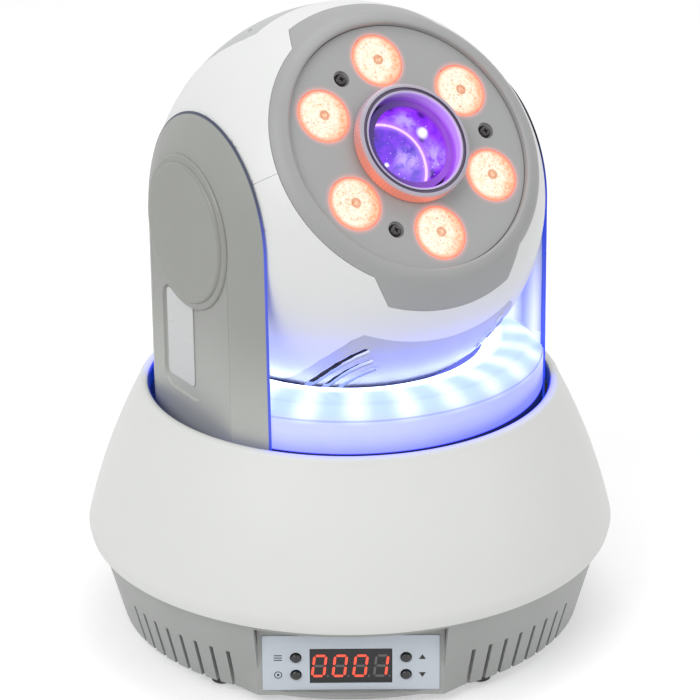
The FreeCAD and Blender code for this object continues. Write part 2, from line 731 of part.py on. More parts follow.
SKIRT_TOP_Z = SHELL_EDGE_Z - PART_LINE
FLANGE_Z = SKIRT_TOP_Z - SHELL_WALL
PLATE_TOP_Z = PLATE_Z + PLATE_THICK
BELT_LOW_Z = PAN_PULLEY_Z + PULLEY_FLANGE + BELT_GAP
BELT_HIGH_Z = PAN_PULLEY_Z + PAN_PULLEY_HEIGHT - PULLEY_FLANGE - BELT_GAP
BEARING_LOW_Z = BRIDGE_Z + BRIDGE_THICK
BEARING_HIGH_Z = BEARING_LOW_Z + BEARING_WIDTH
BUTTON_PLACES = {
    "button_menu": (-BUTTON_X, DISPLAY_Z + BUTTON_PITCH / 2),
    "button_enter": (-BUTTON_X, DISPLAY_Z - BUTTON_PITCH / 2),
    "button_up": (BUTTON_X, DISPLAY_Z + BUTTON_PITCH / 2),
    "button_down": (BUTTON_X, DISPLAY_Z - BUTTON_PITCH / 2),
}
FOOT_PLACES = [
    polar(FOOT_PLACE, side + FOOT_ANGLE * turn) for side in (0, 2 * RIGHT_ANGLE) for turn in (-1, 1)
]
PAN_MOTOR_X = -PAN_BELT_SPAN
MOTOR_HEIGHT = SHELF_Z - PLATE_Z - BRACKET_BUSH_LENGTH - MOTOR_FLOOR_GAP
LEG_PLACES = [(x, y) for x in (-LEG_X, LEG_X) for y in (-LEG_Y, LEG_Y)]
SHELL_BOSS_PLACES = [
    polar(SHELL_BOSS_PLACE, SHELL_BOSS_FIRST_ANGLE + index * FULL_TURN / SHELL_BOSS_COUNT)
    for index in range(SHELL_BOSS_COUNT)
]
LENS_PLACES = [
    polar(LENS_ORBIT_RADIUS, LENS_FIRST_ANGLE + index * FULL_TURN / LENS_COUNT) for index in range(LENS_COUNT)
]
FACE_SCREW_PLACES = [polar(LENS_ORBIT_RADIUS, angle) for angle in FACE_SCREW_ANGLES]
POST_PLACES = [(x, y) for x in (-POST_X, POST_X) for y in (-POST_Y, POST_Y)]


# White upper shell
def shell_body(inset):
    """Outer form of the white shell, or its hollow when inset by the wall."""
    rim = (RIM_RADIUS + RIM_LIP, RIM_TOP_Z - RIM_DROP)
    widest = (BASE_RADIUS - inset, BASE_WIDEST_Z)
    if inset:
        rim = (RIM_RADIUS + RIM_SEAM_WALL, RIM_TOP_Z - RIM_DEPTH)
    edge = (widest[0] - SHELL_EDGE_INSET, SHELL_EDGE_Z)
    side = bulged(rim, widest, SHELL_BULGE)
    return rim, side, widest, edge


def upper_shell():
    rim, side, widest, edge = shell_body(0)
    rim_in, side_in, widest_in, edge_in = shell_body(SHELL_WALL)
    lip_top = (RIM_RADIUS, RIM_TOP_Z - RIM_EASE)
    crest = (RIM_RADIUS + RIM_LIP * RIM_CREST_SHARE, RIM_TOP_Z)
    shell = turned(
        lip_top, *chords(lip_top, crest, rim, RIM_STEPS), *chords(rim, side, widest, SIDE_STEPS), edge, edge_in,
        widest_in, *chords(widest_in, side_in, rim_in, WALL_STEPS), (RIM_RADIUS, rim_in[1]),
    )
    filled = turned((0, SHELL_EDGE_Z), edge, widest, *chords(widest, side, rim, SIDE_STEPS), (0, rim[1]))
    top = SHELL_EDGE_Z + SHELL_BOSS_HEIGHT
    rib_low = SKIRT_TOP_Z + SKIRT_LIP + SEAT
    rib = block(SHELL_BOSS_PLACE, BASE_RADIUS, -SHELL_RIB / 2, SHELL_RIB / 2, rib_low, top)
    bosses = [rod(SHELL_BOSS_RADIUS, SHELL_EDGE_Z, top, x, y) for x, y in SHELL_BOSS_PLACES]
    ribs = [turn_about(rib, Z_AXIS, SHELL_BOSS_FIRST_ANGLE + index * FULL_TURN / SHELL_BOSS_COUNT)
            for index in range(SHELL_BOSS_COUNT)]
    holes = [rod(SCREW_RADIUS + SCREW_GAP, SHELL_EDGE_Z - CUT, SHELL_EDGE_Z + SCREW_LENGTH, x, y)
             for x, y in SHELL_BOSS_PLACES]
    inside = [piece.common(filled) for piece in bosses + ribs]
    return joined(shell, inside).cut(holes)


# Grey lower shell with its vents, panel facet and connector facet
def facet(face_y, half, cheek_half, inset=0.0):
    """Plan of a flat-faced boss on the front of the skirt."""
    back = face_y - PANEL_CHEEK_DEPTH
    deep = back - PANEL_CHEEK_DEPTH
    return [
        (-half + inset, -face_y + inset), (half - inset, -face_y + inset),
        (cheek_half - inset, -back + inset), (cheek_half - inset, -deep),
        (-cheek_half + inset, -deep), (-cheek_half + inset, -back + inset),
    ]


def facet_recess(face_y, half):
    """Plan of what is cut away in front of a facet."""
    front = BASE_RADIUS + CUT
    return [(-half, -face_y), (half, -face_y), (half + PANEL_FLARE, -front), (-half - PANEL_FLARE, -front)]


def plate_outline(gap):
    """Disc with a flat behind each facet, short of the walls by a gap."""
    wall = SHELL_WALL + gap
    disc = rod(skirt_radius(PLATE_Z) - wall, BASE_BOTTOM_Z - CUT, PLATE_TOP_Z + SEAT)
    flats = block(-BASE_RADIUS, BASE_RADIUS, wall - PANEL_FACE_Y, REAR_FACE_Y - wall, 0, BASE_RADIUS)
    return disc.common(flats)


def vent_slots():
    """Open-ended slots on both sides of each facet."""
    slot = block(BASE_FOOT_RADIUS - 2 * SHELL_WALL, BASE_RADIUS, -SLOT_WIDTH / 2, SLOT_WIDTH / 2,
                 BASE_BOTTOM_Z - CUT, SLOT_TOP_Z)
    slots = []
    for index in range(SLOT_COUNT):
        angle = SLOT_FIRST_ANGLE + index * SLOT_PITCH_ANGLE
        for facing in (-RIGHT_ANGLE, RIGHT_ANGLE):
            slots.append(turn_about(slot, Z_AXIS, facing + angle))
            slots.append(turn_about(slot, Z_AXIS, facing - angle))
    return slots


def lower_shell():
    def inner(z):
        return skirt_radius(z) - SHELL_WALL
    ledge_low = PLATE_TOP_Z
    ledge_high = ledge_low + LEDGE_HEIGHT
    lip_z = SKIRT_TOP_Z + SKIRT_LIP
    wall = turned(
        (BASE_FOOT_RADIUS, BASE_BOTTOM_Z), (SKIRT_TOP_RADIUS, SKIRT_TOP_Z), (SKIRT_TOP_RADIUS, lip_z),
        (SKIRT_TOP_RADIUS - SHELL_WALL, lip_z), (SKIRT_TOP_RADIUS - SHELL_WALL, SKIRT_TOP_Z),
        (SKIRT_TOP_RADIUS - FLANGE_WIDTH, SKIRT_TOP_Z), (SKIRT_TOP_RADIUS - FLANGE_WIDTH, FLANGE_Z),
        (inner(FLANGE_Z), FLANGE_Z), (inner(ledge_high), ledge_high),
        (inner(ledge_high) - LEDGE_WIDTH, ledge_high), (inner(ledge_low) - LEDGE_WIDTH, ledge_low),
        (inner(ledge_low), ledge_low), (inner(BASE_BOTTOM_Z), BASE_BOTTOM_Z),
    )
    slotted = wall.cut(vent_slots())
    front = prism(facet(PANEL_FACE_Y, PANEL_HALF, PANEL_CHEEK_HALF), BASE_BOTTOM_Z, FLANGE_Z)
    rear = turn_about(prism(facet(REAR_FACE_Y, REAR_HALF, REAR_CHEEK_HALF), BASE_BOTTOM_Z, FLANGE_Z),
                      Z_AXIS, 2 * RIGHT_ANGLE)
    plate_room = plate_outline(SEAT / 2)
    body = joined(slotted, [front.cut(plate_room), rear.cut(plate_room)])
    front_room = prism(facet(PANEL_FACE_Y, PANEL_HALF, PANEL_CHEEK_HALF, SHELL_WALL),
                       PLATE_TOP_Z + PANEL_FLOOR, FLANGE_Z)
    rear_room = turn_about(prism(facet(REAR_FACE_Y, REAR_HALF, REAR_CHEEK_HALF, SHELL_WALL),
                                 PLATE_TOP_Z + PANEL_FLOOR, FLANGE_Z), Z_AXIS, 2 * RIGHT_ANGLE)
    deep_room = rod(PANEL_FACE_Y - 2 * PANEL_CHEEK_DEPTH + CUT, BASE_BOTTOM_Z - CUT, FLANGE_Z)
    front_cut = prism(facet_recess(PANEL_FACE_Y, PANEL_HALF), PANEL_SILL_Z, FLANGE_Z)
    rear_cut = turn_about(prism(facet_recess(REAR_FACE_Y, REAR_HALF), PANEL_SILL_Z, FLANGE_Z),
                          Z_AXIS, 2 * RIGHT_ANGLE)
    cuts = [front_room, rear_room, deep_room, front_cut, rear_cut, panel_window(DISPLAY_GAP)]
    cuts += [panel_hole(x, z, BUTTON_HOLE_RADIUS) for x, z in BUTTON_PLACES.values()]
    half_width = (INLET_BODY_WIDTH + SEAT) / 2
    half_height = (INLET_BODY_HEIGHT + SEAT) / 2
    low_y = REAR_FACE_Y - SHELL_WALL - CUT
    cuts.append(block(INLET_X - half_width, INLET_X + half_width, low_y, REAR_FACE_Y + CUT,
                      CONNECTOR_Z - half_height, CONNECTOR_Z + half_height))
    for x in (DATA_IN_X, DATA_OUT_X):
        cuts.append(at_rear(rod(DATA_OUT_SHELL_RADIUS + SEAT / 2, -SHELL_WALL - CUT, CUT), x))
    cuts += [rod(SCREW_RADIUS + SCREW_GAP, FLANGE_Z - CUT, SKIRT_TOP_Z + CUT, x, y)
             for x, y in SHELL_BOSS_PLACES]
    cuts += [rod(FOOT_RADIUS, BASE_BOTTOM_Z - CUT, PLATE_TOP_Z + SCREW_LENGTH, x, y)
             for x, y in FOOT_PLACES]
    return body.cut(cuts)


def panel_window(gap):
    half = DISPLAY_WIDTH / 2 + gap
    rise = DISPLAY_HEIGHT / 2 + gap
    front = -PANEL_FACE_Y - CUT
    return block(-half, half, front, front + SHELL_WALL + 2 * CUT, DISPLAY_Z - rise, DISPLAY_Z + rise)


def panel_hole(x, z, radius):
    hole = facing_front(rod(radius, -SHELL_WALL - CUT, CUT))
    return shifted(hole, x, -PANEL_FACE_Y, z)


def at_rear(shape, x):
    """From a frame looking out of the rear facet to its place in the base."""
    return shifted(facing_rear(shape), x, REAR_FACE_Y, CONNECTOR_Z)


# Front panel
def panel_label():
    front = -PANEL_FACE_Y - LABEL_THICK
    half = LABEL_WIDTH / 2
    sheet = block(-half, half, front, -PANEL_FACE_Y, LABEL_LOW_Z, LABEL_LOW_Z + LABEL_HEIGHT)
    holes = [panel_hole(x, z, BUTTON_HOLE_RADIUS) for x, z in BUTTON_PLACES.values()]
    return sheet.cut([panel_window(DISPLAY_GAP)] + holes)


BOARD_FRONT_Y = -PANEL_FACE_Y + DISPLAY_DEPTH


def display_module():
    return block(-DISPLAY_WIDTH / 2, DISPLAY_WIDTH / 2, -PANEL_FACE_Y - LABEL_THICK / 2, BOARD_FRONT_Y,
                 DISPLAY_Z - DISPLAY_HEIGHT / 2, DISPLAY_Z + DISPLAY_HEIGHT / 2)


def button(x, z):
    """Round key cap with a collar that holds it behind the panel."""
    wall_back = -SHELL_WALL - BUTTON_GAP
    back = -DISPLAY_DEPTH + SWITCH_HEIGHT + BUTTON_GAP
    collar = rod(BUTTON_COLLAR_RADIUS, wall_back - BUTTON_COLLAR, wall_back)
    stem = rod(BUTTON_RADIUS, back, LABEL_THICK + BUTTON_PROUD)
    return shifted(facing_front(joined(stem, [collar])), x, -PANEL_FACE_Y, z)


def control_board():
    """Board behind the panel with a press switch under each key."""
    edge = LABEL_WIDTH / 2 - SHELL_WALL
    low = LABEL_LOW_Z + PANEL_FLOOR + SHELL_WALL
    board = block(-edge, edge, BOARD_FRONT_Y, BOARD_FRONT_Y + BOARD_THICK, low, LABEL_LOW_Z + LABEL_HEIGHT)
    half = SWITCH_SIDE / 2
    switches = [block(x - half, x + half, BOARD_FRONT_Y - SWITCH_HEIGHT, BOARD_FRONT_Y, z - half, z + half)
                for x, z in BUTTON_PLACES.values()]
    return joined(board, switches)


# Rear connectors
def inlet_cavity():
    half = INLET_CAVITY_WIDTH / 2
    top = INLET_CAVITY_HEIGHT / 2
    points = [(-half, -top), (half, -top), (half, top - INLET_CAVITY_CHAMFER),
              (half - INLET_CAVITY_CHAMFER, top), (INLET_CAVITY_CHAMFER - half, top),
              (-half, top - INLET_CAVITY_CHAMFER)]
    mouth = INLET_FLANGE_THICK
    return prism(points, mouth - INLET_CAVITY_DEPTH, mouth + CUT)


def inlet_pin_solids():
    floor = INLET_FLANGE_THICK - INLET_CAVITY_DEPTH
    tip = INLET_FLANGE_THICK - INLET_PIN_SHORT
    pins = []
    for x, z in ((-INLET_PIN_X, -INLET_PIN_Z), (0, INLET_PIN_Z), (INLET_PIN_X, -INLET_PIN_Z)):
        pins.append(block(x - INLET_PIN_WIDTH / 2, x + INLET_PIN_WIDTH / 2, z - INLET_PIN_HEIGHT / 2,
                          z + INLET_PIN_HEIGHT / 2, floor - INLET_PIN_HEIGHT, tip))
    return pins


def power_inlet():
    flange = rounded_plate(-INLET_FLANGE_WIDTH / 2, INLET_FLANGE_WIDTH / 2, -INLET_FLANGE_HEIGHT / 2,
                           INLET_FLANGE_HEIGHT / 2, 0, INLET_FLANGE_THICK, INLET_FLANGE_THICK)
    body = block(-INLET_BODY_WIDTH / 2, INLET_BODY_WIDTH / 2, -INLET_BODY_HEIGHT / 2, INLET_BODY_HEIGHT / 2,
                 INLET_FLANGE_THICK - INLET_BODY_DEPTH, 0)
    return joined(flange, [body]).cut([inlet_cavity()] + inlet_pin_solids())


def data_pin_places():
    return [polar(DATA_PIN_PLACE, angle) for angle in (0.0, 2 * RIGHT_ANGLE, -RIGHT_ANGLE)]


def data_flange():
    half = DATA_FLANGE / 2
    return rounded_plate(-half, half, -half, half, 0, DATA_FLANGE_THICK, DATA_FLANGE_CORNER)


def data_pins_solids():
    floor = DATA_FLANGE_THICK - DATA_CAVITY_DEPTH
    return [rod(DATA_PIN_RADIUS, floor - DATA_PIN_SHORT, DATA_FLANGE_THICK - DATA_PIN_SHORT, x, y)
            for x, y in data_pin_places()]


def data_in():
    body = rod(DATA_SHELL_RADIUS, DATA_FLANGE_THICK - DATA_BODY_DEPTH, 0)
    cavity = rod(DATA_CAVITY_RADIUS, DATA_FLANGE_THICK - DATA_CAVITY_DEPTH, DATA_FLANGE_THICK + CUT)
    return joined(data_flange(), [body]).cut([cavity] + data_pins_solids())


def latch(gap=0.0, travel=0.0):
    """Push tab over the socket, or the slot it moves in when given a gap and its travel."""
    low = DATA_SHELL_RADIUS + LATCH_GAP
    return block(-LATCH_WIDTH / 2 - gap, LATCH_WIDTH / 2 + gap, low - gap, low + LATCH_HEIGHT + gap,
                 DATA_FLANGE_THICK - LATCH_DEPTH - gap - travel, DATA_FLANGE_THICK + LATCH_PROUD)


def data_out():
    body = rod(DATA_OUT_SHELL_RADIUS, DATA_FLANGE_THICK - DATA_BODY_DEPTH, 0)
    floor = DATA_FLANGE_THICK - DATA_CAVITY_DEPTH
    gap = tube(DATA_SHELL_RADIUS, DATA_CORE_RADIUS, floor, DATA_FLANGE_THICK + CUT)
    sockets = [rod(DATA_SOCKET_RADIUS, DATA_FLANGE_THICK - DATA_SOCKET_DEPTH, DATA_FLANGE_THICK + CUT, -x, y)
               for x, y in data_pin_places()]
    return joined(data_flange(), [body]).cut([gap, latch(LATCH_GAP, LATCH_TRAVEL)] + sockets)


# Feet, bottom plate and screws
def foot(x, y):
    profile = turned(
        (SCREW_RADIUS + SCREW_GAP, FOOT_RECESS_DEPTH), (FOOT_RECESS_RADIUS, FOOT_RECESS_DEPTH),
        (FOOT_RECESS_RADIUS, 0), (FOOT_RADIUS * FOOT_TIP_SHARE, 0), (FOOT_RADIUS, PLATE_Z),
        (SCREW_RADIUS + SCREW_GAP, PLATE_Z),
    )
    return shifted(profile, x, y, 0)


def screw(length):
    """Screw with its shank along +Z and its head under the origin."""
    return joined(rod(SCREW_HEAD_RADIUS, -SCREW_HEAD_HEIGHT, 0), [rod(SCREW_RADIUS, 0, length)])


def base_screws():
    """One screw through each foot and one up into each boss of the white shell."""
    low = [shifted(screw(SCREW_LENGTH), x, y, FOOT_RECESS_DEPTH) for x, y in FOOT_PLACES]
    high = [shifted(screw(SCREW_LENGTH), x, y, FLANGE_Z) for x, y in SHELL_BOSS_PLACES]
    return group(low + high)


def bottom_plate():
    plate = plate_outline(PLATE_EDGE_GAP).common(rod(BASE_RADIUS, PLATE_Z, PLATE_TOP_Z))
    bushes = [rod(BRACKET_BUSH_RADIUS, PLATE_Z, PLATE_Z + BRACKET_BUSH_LENGTH, x, 0)
              for x in (-BRACKET_SPACING / 2, BRACKET_SPACING / 2)]
    vents = []
    for index in range(PLATE_VENT_COUNT):
        angle = (index + 1 / 2) * FULL_TURN / PLATE_VENT_COUNT
        x, y = polar(PLATE_VENT_PLACE, angle)
        vents.append(rod(PLATE_VENT_RADIUS, PLATE_Z - CUT, PLATE_TOP_Z + CUT, x, y))
    threads = [rod(BRACKET_THREAD_RADIUS, PLATE_Z - CUT, PLATE_Z + BRACKET_BUSH_LENGTH + CUT, x, 0)
               for x in (-BRACKET_SPACING / 2, BRACKET_SPACING / 2)]
    holes = [rod(SCREW_RADIUS + SCREW_GAP, PLATE_Z - CUT, PLATE_TOP_Z + CUT, x, y) for x, y in FOOT_PLACES]
    return joined(plate, bushes).cut(vents + threads + holes)


# Pan drive
def pan_bridge():
    """Steel bridge on four legs that carries the pan bearing."""
    top = rounded_plate(-BRIDGE_LENGTH / 2, BRIDGE_LENGTH / 2, -BRIDGE_WIDTH / 2, BRIDGE_WIDTH / 2,
                        BRIDGE_Z, BRIDGE_Z + BRIDGE_THICK, BRIDGE_CORNER)
    cup = tube(BEARING_RADIUS + BEARING_CUP_WALL, BEARING_RADIUS, BEARING_LOW_Z, BEARING_HIGH_Z)
    legs = [rod(LEG_RADIUS, PLATE_TOP_Z, BRIDGE_Z, x, y) for x, y in LEG_PLACES]
    hole = rod((BEARING_RACE_RADIUS + BEARING_RADIUS) / 2, BRIDGE_Z - CUT, BEARING_LOW_Z + CUT)
    half = MOTOR_SIDE / 2 + SHELF_MARGIN
    shelf = rounded_plate(PAN_MOTOR_X - half, PAN_MOTOR_X + half, -LEG_Y - SHELF_MARGIN, LEG_Y + SHELF_MARGIN,
                          SHELF_Z, SHELF_Z + SHELF_THICK, SHELF_MARGIN)
    pilot = rod(MOTOR_PILOT_RADIUS + SCREW_GAP, SHELF_Z - CUT, SHELF_Z + SHELF_THICK + CUT, PAN_MOTOR_X)
    return joined(top.cut(hole), [cup, shelf.cut(pilot)] + legs)


def square_motor(side, chamfer, pilot_radius, length, pilot_height):
    """Stepping motor body standing under its pilot ring."""
    half = side / 2
    inner = half - chamfer
    points = [(half, -inner), (half, inner), (inner, half), (-inner, half),
              (-half, inner), (-half, -inner), (-inner, -half), (inner, -half)]
    slim = [(x * MOTOR_WAIST_SHARE, y * MOTOR_WAIST_SHARE) for x, y in points]
    end = length * MOTOR_END_SHARE
    ends = [prism(points, -length, end - length), prism(points, -end, 0)]
    return joined(prism(slim, end - length, -end), ends + [rod(pilot_radius, 0, pilot_height)])


def pan_motor():
    motor = square_motor(MOTOR_SIDE, MOTOR_CHAMFER, MOTOR_PILOT_RADIUS, MOTOR_HEIGHT, SHELF_THICK)
    return shifted(motor, PAN_MOTOR_X, 0, SHELF_Z)


def pan_motor_pulley():
    wheel = belt_pulley(PAN_MOTOR_TEETH, MOTOR_SHAFT_RADIUS, PAN_PULLEY_Z, PAN_PULLEY_Z + PAN_PULLEY_HEIGHT)
    shaft = rod(MOTOR_SHAFT_RADIUS, SHELF_Z + SHELF_THICK + SEAT, PAN_PULLEY_Z + PAN_PULLEY_HEIGHT + SEAT)
    return shifted(joined(wheel, [shaft]), PAN_MOTOR_X, 0, 0)


def pan_belt():
    return belt_loop(pitch_radius(PAN_PULLEY_TEETH), pitch_radius(PAN_MOTOR_TEETH), -PAN_MOTOR_X,
                     BELT_LOW_Z, BELT_HIGH_Z)


def pan_pulley():
    bore = BEARING_BORE_RADIUS + FIT
    return belt_pulley(PAN_PULLEY_TEETH, bore, PAN_PULLEY_Z, PAN_PULLEY_Z + PAN_PULLEY_HEIGHT)


def pan_shaft():
    """Hollow shaft that hangs the yoke in its bearing and lets the wiring through."""
    flange_z = TRAY_FLOOR_Z - PAN_FLANGE_THICK
    return turned(
        (PAN_SHAFT_BORE_RADIUS, PAN_PULLEY_Z - CUT), (BEARING_BORE_RADIUS, PAN_PULLEY_Z - CUT),
        (BEARING_BORE_RADIUS, BEARING_HIGH_Z), (PAN_SHOULDER_RADIUS, BEARING_HIGH_Z),
        (PAN_SHOULDER_RADIUS, flange_z), (PAN_FLANGE_RADIUS, flange_z),
        (PAN_FLANGE_RADIUS, TRAY_FLOOR_Z), (PAN_SHAFT_BORE_RADIUS, TRAY_FLOOR_Z),
    )


def power_supply():
    """Enclosed supply with pressed ribs on its lid."""
    half = SUPPLY_WIDTH / 2
    case = block(SUPPLY_X, SUPPLY_X + SUPPLY_LENGTH, -half, half, PLATE_TOP_Z, PLATE_TOP_Z + SUPPLY_HEIGHT)
    pitch = SUPPLY_LENGTH / SUPPLY_FIN_COUNT
    grooves = []
    for index in range(SUPPLY_FIN_COUNT):
        x = SUPPLY_X + (index + 1 / 2) * pitch
        grooves.append(block(x - SUPPLY_FIN / 2, x + SUPPLY_FIN / 2, -half + SUPPLY_FIN, half - SUPPLY_FIN,
                             PLATE_TOP_Z + SUPPLY_HEIGHT - SUPPLY_FIN_DEPTH, PLATE_TOP_Z + SUPPLY_HEIGHT + CUT))
    return case.cut(grooves)


# Yoke arms, built on the right side of the square yoke
def arm_section(z, edge_y, fold_y, inset):
    points = [(ARM_INNER_X, -edge_y + inset), (ARM_FACE_X - inset, -fold_y + inset / 2),
              (ARM_FACE_X - inset, fold_y - inset / 2), (ARM_INNER_X, edge_y - inset)]
    corners = [at(x, y, z) for x, y in points]
    return Part.makePolygon(corners + corners[:1])


def arm_form(inset):
    """Arched arm, its top part of a ball and its lower part a folded strip."""
    top = arm_section(HEAD_AXIS_Z, ARM_EDGE_TOP_Y, ARM_FOLD_TOP_Y, inset)
    fold = arm_section(ARM_FOLD_Z, ARM_EDGE_LOW_Y, ARM_FOLD_LOW_Y, inset)
    strip = Part.makeLoft([top, fold], True, True)
    foot_points = [(vertex.X, vertex.Y) for vertex in fold.OrderedVertexes]
    leg = prism(foot_points, ARM_BOTTOM_Z + inset, ARM_FOLD_Z)
    lens = shifted(ball(YOKE_RADIUS - inset), 0, 0, HEAD_AXIS_Z)
    top_z = HEAD_AXIS_Z + BASE_RADIUS
    slab = block(ARM_INNER_X, ARM_FACE_X - inset, -BASE_RADIUS, BASE_RADIUS, ARM_BOTTOM_Z, top_z)
    return joined(lens.common(slab), [strip, leg])


def arm_slab(shape, x_low, x_high):
    return shape.common(block(x_low, x_high, -BASE_RADIUS, BASE_RADIUS, 0, HEAD_AXIS_Z + BASE_RADIUS))


def on_axle(shape):
    """From a shape built along +Z to one along +X on the tilt axis, in the square yoke."""
    return shifted(along_x(shape), 0, 0, HEAD_AXIS_Z)


def arm_outer():
    body = arm_slab(arm_form(0), ARM_INNER_X + ARM_LINER + PART_LINE, ARM_FACE_X)
    hollow = arm_slab(arm_form(ARM_WALL), ARM_INNER_X + ARM_LINER, ARM_FACE_X - ARM_WALL)
    window = on_axle(rod(CAP_SPIGOT_RADIUS + PART_LINE, ARM_INNER_X, ARM_FACE_X + CUT))
    recess = turn_about(
        rounded_plate(-RECESS_TOP_Z, -RECESS_BOTTOM_Z, -RECESS_FRONT_Y, RECESS_REAR_Y,
                      ARM_FACE_X - RECESS_DEPTH, ARM_FACE_X + CUT, RECESS_CORNER), Y_AXIS, RIGHT_ANGLE)
    return body.cut([hollow, window, recess])


def arm_inner():
    """Flat liner with the bearing boss, a raised panel, two edge beads and the tilt motor's hole."""
    liner = arm_slab(arm_form(0), ARM_INNER_X, ARM_INNER_X + ARM_LINER)
    proud_x = ARM_INNER_X - ARM_PANEL_PROUD
    reach = on_axle(rod(ARM_PANEL_TOP_RADIUS, 0, BASE_RADIUS))
    half = ARM_PANEL_HALF
    panel = block(proud_x, ARM_INNER_X, -half, half, ARM_PANEL_LOW_Z, HEAD_AXIS_Z).cut(reach)
    beads = [block(proud_x, ARM_INNER_X, low, high, ARM_PANEL_LOW_Z, HEAD_AXIS_Z).cut(reach)
             for low, high in ((-ARM_EDGE_LOW_Y, -ARM_BEAD_INNER), (ARM_BEAD_INNER, ARM_EDGE_LOW_Y))]
    boss = on_axle(rod(ARM_BOSS_RADIUS, ARM_BOSS_X, ARM_INNER_X))
    through = (ARM_BOSS_X - CUT, ARM_INNER_X + ARM_LINER + CUT)
    bore = on_axle(rod(HEAD_BEARING_RADIUS, *through))
    motor_hole = shifted(along_x(rod(HEAD_SHAFT_RADIUS + SEAT, *through)), 0, 0, HEAD_MOTOR_Z)
    return joined(liner, [panel, boss] + beads).cut([bore, motor_hole])


def arm_cap():
    """Round cover with a stepped rim and a spigot."""
    step_x = ARM_FACE_X + CAP_PROUD * CAP_STEP_SHARE
    top_x = ARM_FACE_X + CAP_PROUD
    face, step, foot_edge = (CAP_FACE_RADIUS, top_x), (CAP_STEP_RADIUS, step_x), (CAP_RADIUS, ARM_FACE_X)
    spigot = CAP_SPIGOT_RADIUS - CAP_SPIGOT_WALL
    cap = turned(
        (0, top_x), face, *chords(face, bulged(face, step, CAP_BULGE), step, CAP_STEPS),
        *chords(step, bulged(step, foot_edge, CAP_BULGE), foot_edge, CAP_STEPS),
        (CAP_SPIGOT_RADIUS, ARM_FACE_X), (CAP_SPIGOT_RADIUS, ARM_FACE_X - CAP_SPIGOT_DEPTH),
        (spigot, ARM_FACE_X - CAP_SPIGOT_DEPTH), (spigot, top_x - CAP_WALL), (0, top_x - CAP_WALL),
    )
    return on_axle(cap)


def arm_nameplate():
    """Bare plate in the recess of the left arm."""
    seat_x = ARM_FACE_X - RECESS_DEPTH
    return turn_about(
        rounded_plate(-NAMEPLATE_TOP_Z, -NAMEPLATE_BOTTOM_Z, -NAMEPLATE_FRONT_Y, NAMEPLATE_REAR_Y,
                      seat_x, seat_x + NAMEPLATE_THICK, NAMEPLATE_CORNER), Y_AXIS, RIGHT_ANGLE)


def tilt_bearing():
    low = ARM_INNER_X + ARM_LINER - HEAD_BEARING_WIDTH
    return on_axle(tube(HEAD_BEARING_RADIUS, TRUNNION_RADIUS + RUN, low, low + HEAD_BEARING_WIDTH))


# Yoke tray, dish and lit ring
def between_arms(shape):
    half = ARM_INNER_X - SIDE_GAP
    return shape.common(block(-half, half, -BASE_RADIUS, BASE_RADIUS, 0, HEAD_AXIS_Z + BASE_RADIUS))


def yoke_tray():
    cup = turned(
        (PAN_SHAFT_BORE_RADIUS, TRAY_FLOOR_Z), (TRAY_RADIUS, TRAY_FLOOR_Z),
        (TRAY_RADIUS, TRAY_TOP_Z - TRAY_LIP),
        (TRAY_RADIUS + TRAY_LIP, TRAY_TOP_Z - TRAY_LIP), (TRAY_RADIUS + TRAY_LIP, TRAY_TOP_Z),
        (TRAY_RADIUS - TRAY_WALL, TRAY_TOP_Z), (TRAY_RADIUS - TRAY_WALL, TRAY_FLOOR_Z + TRAY_WALL),
        (PAN_SHAFT_BORE_RADIUS, TRAY_FLOOR_Z + TRAY_WALL),
    )
    posts = [rod(TRAY_POST_RADIUS, TRAY_FLOOR_Z + TRAY_WALL, RING_BOARD_Z, *polar(TRAY_POST_PLACE, angle))
             for angle in TRAY_POST_ANGLES]
    return between_arms(joined(cup, posts))


def bowl_curve(radius):
    """Chords of a bowl of this radius round the tilt axis, from its middle to the dish's edge."""
    def low(reach):
        return (reach, HEAD_AXIS_Z - math.sqrt(radius ** 2 - reach ** 2))
    return [low(0)] + chords(low(0), low(DISH_RADIUS / 2), low(DISH_RADIUS), DISH_STEPS)


def yoke_dish():
    """Bowl under the head, on posts from the tray."""
    inner = HEAD_RADIUS + DISH_CLEARANCE
    inside = bowl_curve(inner)
    middle = bowl_curve(inner + DISH_WALL / 2)
    bowl = turned(*bowl_curve(inner + DISH_WALL), *reversed(inside))
    above = turned(*middle, (DISH_RADIUS, HEAD_AXIS_Z), (0, HEAD_AXIS_Z))
    posts = [rod(DISH_POST_RADIUS, TRAY_FLOOR_Z + TRAY_WALL, middle[-1][1], x, y).cut(above)
             for x in (-DISH_POST_X, DISH_POST_X) for y in (-DISH_POST_Y, DISH_POST_Y)]
    return joined(bowl, posts)


